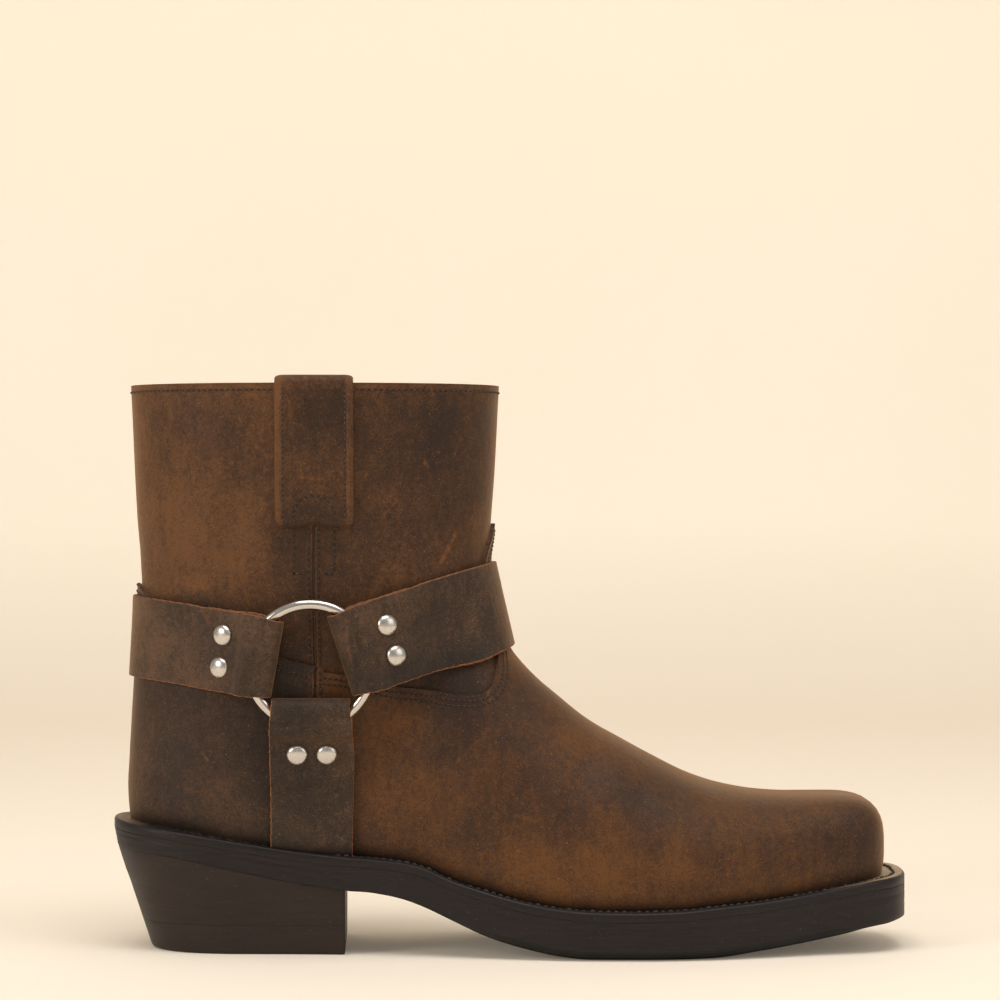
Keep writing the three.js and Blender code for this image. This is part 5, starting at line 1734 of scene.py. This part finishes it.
def make_band(name, path, node):
    """A strap with both ends folded round the rings: its rings of points from tail to tail."""
    s, level, look_s, look_up = folded_end(path.strap)
    first = strap_rings(path, "outer", s, level, look_s, look_up)
    last = strap_rings(path, "inner", s, level, look_s, look_up)[::-1]
    half = STRAP_THICKNESS / 2
    run = np.linspace(STRAP_TAIL, path.half, 56)[1:]
    level_run = half + 0 * run
    middle_first = strap_rings(path, "outer", run, level_run, 0 * run, 0 * run + 1)
    back = path.whole - np.linspace(path.half, path.whole - STRAP_TAIL, 56)[1:-1]
    middle_last = strap_rings(path, "inner", back, half + 0 * back, 0 * back, 0 * back + 1)
    rings = np.concatenate([first, middle_first, middle_last, last])
    shape = tube(rings, kinds=PROFILE[3])
    mesh_piece(name, shape, LEATHERS["strap"], "strap_leather", [node], base=path.tone)


DROP_FOOT_Z = 38  # the down strap runs to here, into the welt


def make_drop(side):
    """The down strap: folded round the ring above, run out to the welt below."""
    s, level, look_s, look_up = folded_end(DROP.strap)
    run = np.linspace(STRAP_TAIL, RING_Z - DROP_FOOT_Z, 40)[1:]
    half = STRAP_THICKNESS / 2
    s = np.concatenate([s, run])
    level = np.concatenate([level, half + 0 * run])
    look_s = np.concatenate([look_s, 0 * run])
    look_up = np.concatenate([look_up, 0 * run + 1])
    rings = strap_rings(DROP, side, s, level, look_s, look_up)
    mesh_piece(
        f"down_strap_leather_{side}",
        tube(rings, kinds=PROFILE[3]),
        LEATHERS["strap"],
        "strap_leather",
        [f"down_strap_{side}"],
        base=0.1,
    )


def make_ring(side):
    """A ring: a round wire carried round a circle in the ring's plane."""
    turn = np.linspace(0, 2 * math.pi, 121)[:-1, None]
    wire = np.linspace(0, 2 * math.pi, 25)[None, :-1]
    reach = RING_TRACK + WIRE_HALF * np.cos(wire)
    level = WIRE_HALF * np.sin(wire) + 0 * turn
    shape = tube(in_plane(side, reach * np.cos(turn), reach * np.sin(turn), level), closed=True)
    mesh_piece(f"ring_wire_{side}", shape, CHROME, "nickel_plate", [f"ring_{side}"], tones=False)


RIVET_SEAT = STRAP_THICKNESS + 0.3


def rivet_rings(at, out):
    """A domed cap: its profile, a thin rim and a round dome, turned about the way it looks."""
    radius = RIVET_DIAMETER / 2
    angle = np.linspace(0, math.pi / 2, 9)
    reach = np.concatenate([[0.86 * radius, radius, radius], radius * 0.96 * np.cos(angle[1:])])
    high = np.concatenate([[-0.5, -0.35, 0.25], 0.25 + (RIVET_DOME - 0.25) * np.sin(angle[1:])])
    reach[-1] = 0.02
    side = unit(np.cross(out, [0.0, 0.0, 1.0]))
    up = np.cross(side, out)
    turn = np.linspace(0, 2 * math.pi, 37)[:-1]
    circle = np.cos(turn)[:, None] * side + np.sin(turn)[:, None] * up
    return at + reach[:, None, None] * circle + high[:, None, None] * out


def rivet_place(path, side, c, level):
    """The outer face of a strap at a rivet, and the way it looks there."""
    reach = path.strap["rivets"]
    s = np.array([reach, reach + 1.5, reach])
    across = np.array([c, c, c + 1.5])
    at, ahead, beside = path.place(side, s, across, np.full(3, level))
    out = unit(np.cross(ahead - at, beside - at))
    return at, out if out[1] * SIDE_SIGN[side] > 0 else -out


def make_rivets():
    """Pairs of rivets through each folded end."""
    for side in SIDE_SIGN:
        for name, path in (("front", FRONT), ("back", BACK), ("down", DROP)):
            for number, share in ((1, 0.5), (2, -0.5)):
                across = share * path.strap["pitch"]
                shape = tube(rivet_rings(*rivet_place(path, side, across, RIVET_SEAT)))
                cap, node = (f"{kind}_{name}_{side}_{number}" for kind in ("rivet_cap", "rivet"))
                mesh_piece(cap, shape, RIVET_METAL, "nickel_plate", [node], tones=False)


# The pull straps


def pull_height(c):
    """The strap's face: a rounded ridge along each folded edge and a channel at its stitches."""
    inward = PULL_WIDTH / 2 - np.abs(c)
    ridge = 0.75 * np.exp(-(((inward - 1.5) / 1.1) ** 2))
    channel = -0.25 * np.exp(-(((inward - 3.3) / 0.6) ** 2))
    return ridge + channel


def pull_place(side, c, z, height):
    """A place over the shaft where the pull strap lies."""
    return lay_on(on_side(PULL_X + c, z, side), height)


PULL_HALF = PULL_WIDTH / 2
PULL_FACE = PULL_THICKNESS - 0.4
TURN_Z = COLLAR_HEIGHT - GAP


def pull_wear_and_highlight(p):
    """The tone of a pull strap: dark along its middle, warm along its folded edges, partly wear and partly
    painted highlight on their rounded crests.
    """
    away = np.abs(p[:, 0] - PULL_X)
    # Warm edges: partly wear, partly painted highlight on the rounded crests
    return lerp(-0.35, 0.75, smoothstep(away, PULL_HALF - 3.6, PULL_HALF - 1.8))


def pull_outside(side, shares):
    """The strap's face and its back up the outside: its lower corners round, its lower edge bowed
    in the middle, thinned and folded to a lip; its ridges fade towards the collar."""
    corner_rise = [0, 0.15, 0.6, 1.3, 2.3, 3.3, PULL_CORNER]
    rise = np.concatenate([corner_rise, np.linspace(PULL_CORNER, TURN_Z - PULL_BOTTOM, 40)[1:]])
    left = np.maximum(0, PULL_CORNER - rise)
    narrow = PULL_CORNER - np.sqrt(np.maximum(0, PULL_CORNER**2 - left**2))
    c = shares * (PULL_HALF - narrow)[:, None]
    rise = rise[:, None]
    bow = 1.3 * np.exp(-((c / 4.5) ** 2)) * np.exp(-rise / 3)
    z = PULL_BOTTOM + rise + bow
    edge_drop = 0.9 * np.exp(-rise / 0.8)
    fade = 1 - smoothstep(rise, TURN_Z - PULL_BOTTOM - 7, TURN_Z - PULL_BOTTOM)
    lip = 0.5 * np.exp(-(((rise - 2) / 1.2) ** 2))
    face = PULL_FACE + fade * np.maximum(pull_height(c), lip) - edge_drop - 0.9 * np.abs(shares) ** 16
    return pull_place(side, c, z, 0.1 + face), pull_place(side, c, z, 0.1 + 0 * face)


def pull_crown(side, thick):
    """The strap over the collar: half circles about the middle of the wall's edge, face and back."""
    c = np.linspace(-1, 1, len(thick)) * PULL_HALF
    angle = np.radians(np.linspace(0, 180, 15)[1:-1])[:, None]
    middle = pull_place(side, c + 0 * angle, TURN_Z + 0 * c + 0 * angle, -WALL / 2 + 0 * c + 0 * angle)
    out = np.array([0.0, SIDE_SIGN[side], 0.0])
    sheets = []
    for layer in (thick, 0 * thick):
        radius = WALL / 2 + GAP + layer + 0 * angle
        moved = middle + (radius * np.cos(angle))[..., None] * out
        moved[..., 2] = TURN_Z + radius * np.sin(angle)
        sheets.append(moved)
    return sheets


def pull_inside(side, thick):
    """The strap down inside the shaft, against the lining: face and back."""
    c = np.linspace(-1, 1, len(thick)) * PULL_HALF
    down = np.linspace(TURN_Z, PULL_INSIDE, 26)[:, None]
    layers = (-WALL - GAP - thick, -WALL - GAP + 0 * thick)
    return [pull_place(side, c + 0 * down, down + 0 * c, layer + 0 * down) for layer in layers]


def make_pull(side):
    """The pull strap: up the outside, over the collar in a half turn, and down inside."""
    shares = np.linspace(-1, 1, 61)
    thick = PULL_FACE - 0.9 * np.abs(shares) ** 16
    stretches = [pull_outside(side, shares), pull_crown(side, thick), pull_inside(side, thick)]
    outer, inner = (np.concatenate(sheets) for sheets in zip(*stretches))
    mesh_piece(
        f"pull_strap_leather_{side}",
        slab(outer, inner, ["start", "end", "left", "right"]),
        LEATHERS["pull"],
        "strap_leather",
        [f"pull_strap_{side}"],
        base=pull_wear_and_highlight,
    )


# Seams and stitches


def spaced(points, pitch):
    """Places along a line of points, a pitch apart."""
    steps = np.linalg.norm(np.diff(points, axis=0), axis=-1)
    reach = np.concatenate([[0], np.cumsum(steps)])
    count = max(2, int(reach[-1] / pitch))
    at = np.linspace(0, reach[-1], count + 1)
    return np.stack([np.interp(at, reach, points[:, k]) for k in range(3)], -1)


def settle_on_form(p):
    """Moves places near the form on to it, by the field along its slope, three times."""
    for _ in range(3):
        p = p - normal_of(p) * form(p)[..., None]
    return p


def beside(points, distance):
    """A line on the form beside another, to its right as seen from outside."""
    p = spaced(points, 0.8)
    ahead = unit(np.gradient(p, axis=0))
    return settle_on_form(p + np.cross(ahead, normal_of(p)) * distance)


def stitch_rings(start, end, out, radius, sag):
    """Stitches from hole to hole: each a round thread, thin and sunk at its ends."""
    share = np.array([0, 0.16, 0.5, 0.84, 1])[None, :, None, None]
    radius = np.asarray(radius).reshape(-1, 1, 1, 1)
    size = radius * np.array([0.45, 0.95, 1, 0.95, 0.45])[None, :, None, None]
    drop = np.array([-sag, 0.1, 0.35, 0.1, -sag])[None, :, None, None] * np.minimum(1, 2 * radius)
    ahead = unit(end - start)
    across = unit(np.cross(ahead, out))
    turn = np.linspace(0, 2 * math.pi, 6)[None, None, :-1, None]
    middle = lerp(start[:, None, None], end[:, None, None], share) + drop * out[:, None, None]
    circle = np.cos(turn) * across[:, None, None] + np.sin(turn) * out[:, None, None]
    return middle + size * circle


def stitch_mesh(rings):
    """All stitches of a row as one shape, each a closed tube."""
    count, stations, sides = rings.shape[:3]
    points, faces, kinds = tube(rings[0])
    per = len(points)
    hubs = rings[:, [0, -1]].mean(2)
    all_points = np.concatenate([rings.reshape(count, stations * sides, 3), hubs], 1).reshape(-1, 3)
    shifts = (np.arange(count) * per)[:, None, None]
    all_faces = (faces[None] + shifts).reshape(-1, 4)
    return all_points, all_faces, np.tile(kinds, count)


def hole_rings(places, out, radius):
    """Holes where stitches enter: low near-black discs of painted shade, turned to the way out."""
    level = np.array([-0.3, 0.05, 0.12])[None, :, None, None]
    size = radius * np.array([1, 1, 0.6])[None, :, None, None]
    across = unit(np.cross(out, [0.3, 0.2, 1.0]))
    beyond = np.cross(out, across)
    turn = np.linspace(0, 2 * math.pi, 8)[None, None, :-1, None]
    circle = np.cos(turn) * across[:, None, None] + np.sin(turn) * beyond[:, None, None]
    return places[:, None, None] + level * out[:, None, None] + size * circle


class Row:
    """A row of stitches: places from hole to hole, the way out, and its thread."""

    def __init__(self, places, out, length=0.56, radius=0.27, sag=0.35, hole=0.44):
        start = lerp(places[:-1], places[1:], (1 - length) / 2)
        end = lerp(places[1:], places[:-1], (1 - length) / 2)
        self.rings = stitch_rings(start, end, out[:-1], radius, sag)
        self.holes = hole_rings(places, out, hole)


def row_on_form(curve, height, pitch=2.7, **thread):
    """A row along a curve on the form, raised to a height over the creased leather."""
    places = settle_on_form(spaced(curve, pitch))
    return Row(lay_on(places, height + 0 * places[:, 0]), normal_of(places), **thread)


def make_stitches(name, rows, material=None, slot="upper_leather"):
    """One piece from several rows."""
    rings = np.concatenate([row.rings for row in rows])
    mesh_piece(name, stitch_mesh(rings), material or THREAD, slot, tones=False)
    # The dark discs at the holes are painted shade
    holes = np.concatenate([row.holes for row in rows])
    mesh_piece(f"{name}_holes", stitch_mesh(holes), RECESS_SHADE, slot, tones=False)


PANEL_TOP = GAP + OVERLAY
SEAM_HALF = 3.1  # half width of the side seam
SEAM_FOOT = 84  # its lower end, under the down strap
SEAM_ROW = 1.75  # from its middle to each row of stitches
SEAM_TOP = 0.42  # height of its ridges
GROOVE_HALF = 0.45  # half width of the groove between them
# Between these heights the seam steps down from the panels to the shaft
PANEL_END = (107, 109)


def seam_line(z):
    """The side seam's place along the boot: straight up, a little uneven."""
    return PULL_X + 0.25 * np.sin(z / 13)


def make_side_seam(side):
    """The side seam: two soft ridges with a groove between, from the pull strap down over the
    panels to the down strap; its cross-section set at each height. The groove is painted near-black
    shade."""
    flank_c = np.linspace(GROOVE_HALF, SEAM_HALF, 13)
    c = np.concatenate([-flank_c[::-1], [-0.5 * GROOVE_HALF, 0.5 * GROOVE_HALF], flank_c])
    z = np.linspace(SEAM_FOOT, PULL_BOTTOM + 3, 110)[:, None]
    step = PANEL_TOP * (1 - smoothstep(z, *PANEL_END))
    ridge = SEAM_TOP * np.exp(-(((np.abs(c) - 1.15) / 0.9) ** 2)) - 0.5 * (np.abs(c) < GROOVE_HALF)
    pinch = -0.12 * np.exp(-(((np.abs(c) - SEAM_ROW) / 0.3) ** 2))
    flank = 0.18 * smoothstep(SEAM_HALF - np.abs(c), 0, 0.8)
    top = ridge + pinch + flank - 0.05
    grid = on_side(seam_line(z) + c, z + 0 * c, side)
    outer = lay_on(grid, top + step)
    inner = lay_on(grid, -0.3 + 0 * (z + c))
    points, faces, kinds = slab(outer, inner, ["start", "end", "left", "right"])
    strips = len(c) - 1
    column = np.arange(strips * (len(z) - 1)) % strips
    # The groove's middle strips take near-black painted shade
    kinds[: len(column)] = np.abs(column - strips // 2) <= 1
    kinds[len(column) :] = 0
    mesh_piece(f"side_seam_{side}", (points, faces, kinds), [STITCH_BAND, RECESS_SHADE], "upper_leather", base=-0.1)
    rows = []
    on_shaft = (np.linspace(PANEL_END[1] + 0.5, PULL_BOTTOM - 0.5, 40), SEAM_TOP)
    on_panel = (np.linspace(SEAM_FOOT + 2, PANEL_END[0] - 0.5, 12), PANEL_TOP + SEAM_TOP)
    for offset in (-SEAM_ROW, SEAM_ROW):
        for z, height in (on_shaft, on_panel):
            curve = on_side(seam_line(z) + offset, z, side)
            rows.append(row_on_form(curve, height, 2.3, radius=0.26))
    return rows


def box_rows(side):
    """The arched box of stitches under the pull strap: up one side, over the arch, down the other
    and along the bottom; it climbs on to the strap where it meets it."""
    half = 7.6
    low, spring = 143.6, 165.5
    angle = np.linspace(math.pi, 0, 30)
    edge = np.full(20, half)
    arch = half * np.cos(angle), spring + half * np.sin(angle)
    c = np.concatenate([-edge, arch[0], edge, np.linspace(half, -half, 12)])
    sides = np.linspace(low, spring, 20), np.linspace(spring, low, 20)
    z = np.concatenate([sides[0], arch[1], sides[1], np.full(12, low)])
    places = settle_on_form(spaced(on_side(PULL_X + c, z, side), 2.35))
    height = np.where(places[:, 2] > PULL_BOTTOM, 0.1 + PULL_FACE, 0.02)
    return Row(lay_on(places, height), normal_of(places), length=0.4, radius=0.26, sag=0.3, hole=0.55)


def pull_rows(side):
    """A row beside each long edge of the pull strap, outside and up to the collar."""
    rows = []
    z = np.linspace(PULL_BOTTOM + 4.2, COLLAR_HEIGHT - 2, 40)
    for c in (-1, 1):
        curve = on_side(PULL_X + c * (PULL_HALF - 3.3) + 0 * z, z, side)
        rows.append(row_on_form(curve, PULL_FACE, 1.95, radius=0.28))
    return rows


def collar_rows():
    """The row below the collar's edge, left out under the pull straps."""
    rows = []
    clear = 0.052  # share of a turn from the middle of a pull strap to the row's end
    for first, last in ((clear, 0.5 - clear), (0.5 + clear, 1 - clear)):
        turn = np.linspace(first, last, 160)
        curve = around(turn, 0 * turn + COLLAR_HEIGHT - 2.6)
        rows.append(row_on_form(curve, 0.06, 2.3, radius=0.28))
    return rows


def welt_rows():
    """The stitches through the welt, close to the upper, from one side of the heel round the toe
    to the other."""
    row_inset, last_x = 4.1, -84
    loop = sole_loop(even(row_inset))
    flat = loop[loop[:, 0] > last_x]
    curve = stack(flat[:, 0], flat[:, 1], seat_height(flat[:, 0]) - 0.3)
    places = spaced(curve, 2.9)
    uneven = np.random.default_rng(7).uniform(-1, 1, (3, len(places)))
    places = places + uneven.T * (0.35, 0.25, 0.12)
    out = stack(0 * places[:, 0], 0, 1)
    return Row(places, out, length=0.84, radius=0.55 + 0.2 * uneven[0, 1:], sag=0.9)


def make_seams():
    """The side seams and the rows of stitches on the shaft and the welt; the vamp's and the counter's rows
    are made by panel_stitches.
    """
    rows = collar_rows()
    for side in SIDE_SIGN:
        rows += make_side_seam(side)
        rows.append(box_rows(side))
        rows += pull_rows(side)
    make_stitches("shaft_stitches", rows)
    make_stitches("welt_stitches", [welt_rows()], WELT_THREAD, "welt_leather")


def panel_stitches(name, edge, sign):
    """Two rows inside a panel's edge."""
    rows = [
        row_on_form(beside(edge, sign * distance), PANEL_TOP + 0.02, 1.95, radius=0.26)
        for distance in (2.3, 4.4)
    ]
    make_stitches(name, rows)


make_upper()
panel_stitches("vamp_stitches", make_vamp(), 1)
panel_stitches("counter_stitches", make_counter(), -1)
make_welt()
make_outsole()
make_heel()
make_insole()
make_band("front_strap_leather", FRONT, "front_strap")
make_band("back_strap_leather", BACK, "back_strap")
for strap_side in SIDE_SIGN:
    make_drop(strap_side)
    make_ring(strap_side)
    make_pull(strap_side)
make_rivets()
make_seams()

# Floor, lights and camera


def make_backdrop():
    """A pale floor that curves up into a wall behind: a line along Y carried across X, in metres."""
    floor_end, radius, height, half = 1.3, 0.6, 3.2, 4.0
    angle = np.radians(np.linspace(0, 90, 20))
    y = np.concatenate([[-2.6, 0, floor_end], floor_end + radius * np.sin(angle[1:]), [floor_end + radius]])
    z = np.concatenate([[0, 0, 0], radius * (1 - np.cos(angle[1:])), [height]])
    left = stack(-half, y, z)
    right = stack(half, y, z)
    faces = sheet_faces(2, len(y))
    mesh = bpy.data.meshes.new("backdrop")
    mesh.from_pydata(np.concatenate([left, right]).tolist(), [], faces.tolist())
    mesh.polygons.foreach_set("use_smooth", np.ones(len(faces), bool))
    shader = Shader("backdrop_paper")
    cloud = shader.spread(shader.noise(1.5, 2), 0.3, 0.7)
    wall = shader.mix(cloud, linear(249, 239, 223), linear(251, 243, 228))
    high = shader.add("ShaderNodeSeparateXYZ", {0: shader.object_place}).outputs[2]
    tint = shader.mix(shader.spread(high, 0.0, 0.15), linear(248, 237, 222), wall)
    glow = shader.spread(high, 0.0, 0.15, 0.1, 0.25)
    mesh.materials.append(
        shader.finish(
            Base_Color=tint,
            Roughness=0.85,
            Emission_Color=linear(255, 238, 214),
            Emission_Strength=glow,
            Specular_IOR_Level=0.1,
        )
    )
    obj = bpy.data.objects.new("backdrop", mesh)
    bpy.context.scene.collection.objects.link(obj)


def area_light(name, place, target, size, power, colour):
    """A square soft light aimed at a point."""
    light = bpy.data.lights.new(name, "AREA")
    light.size = size
    light.energy = power
    light.color = colour
    obj = bpy.data.objects.new(name, light)
    way = np.array(target) - np.array(place)
    across = math.hypot(way[0], way[1])
    obj.location = place
    obj.rotation_euler = (math.atan2(across, -way[2]), 0, math.atan2(way[1], way[0]) - math.pi / 2)
    bpy.context.scene.collection.objects.link(obj)


def make_lights():
    """Large soft lights above, to the left and to the right, and a pale surrounding."""
    middle = (0, 0, 0.1)
    area_light("above", (0.1, -0.5, 1.7), middle, 1.3, 16.5, (1, 0.98, 0.95))
    area_light("left", (-1.5, -1.1, 0.8), middle, 0.8, 10.5, (1, 0.96, 0.9))
    area_light("right", (1.5, -0.9, 0.9), middle, 1.1, 5.5, (1, 0.98, 0.95))
    world = bpy.data.worlds.new("surround")
    world.use_nodes = True
    ground = world.node_tree.nodes["Background"]
    ground.inputs["Color"].default_value = (1, 0.93, 0.83, 1)
    ground.inputs["Strength"].default_value = 0.38
    bpy.context.scene.world = world


CAMERA_HEIGHT = 0.1712
CAMERA_X = -0.0036
CAMERA_DISTANCE = 1.3
CAMERA_LENS = 121.2


def make_camera():
    """A level camera square to the boot's outer side."""
    camera = bpy.data.cameras.new("camera")
    camera.sensor_width = 36
    camera.lens = CAMERA_LENS
    obj = bpy.data.objects.new("camera", camera)
    obj.location = (CAMERA_X, -CAMERA_DISTANCE, CAMERA_HEIGHT)
    obj.rotation_euler = (math.pi / 2, 0, 0)
    bpy.context.scene.collection.objects.link(obj)
    bpy.context.scene.camera = obj


make_backdrop()
make_lights()
make_camera()
bpy.context.scene.view_settings.view_transform = "Standard"
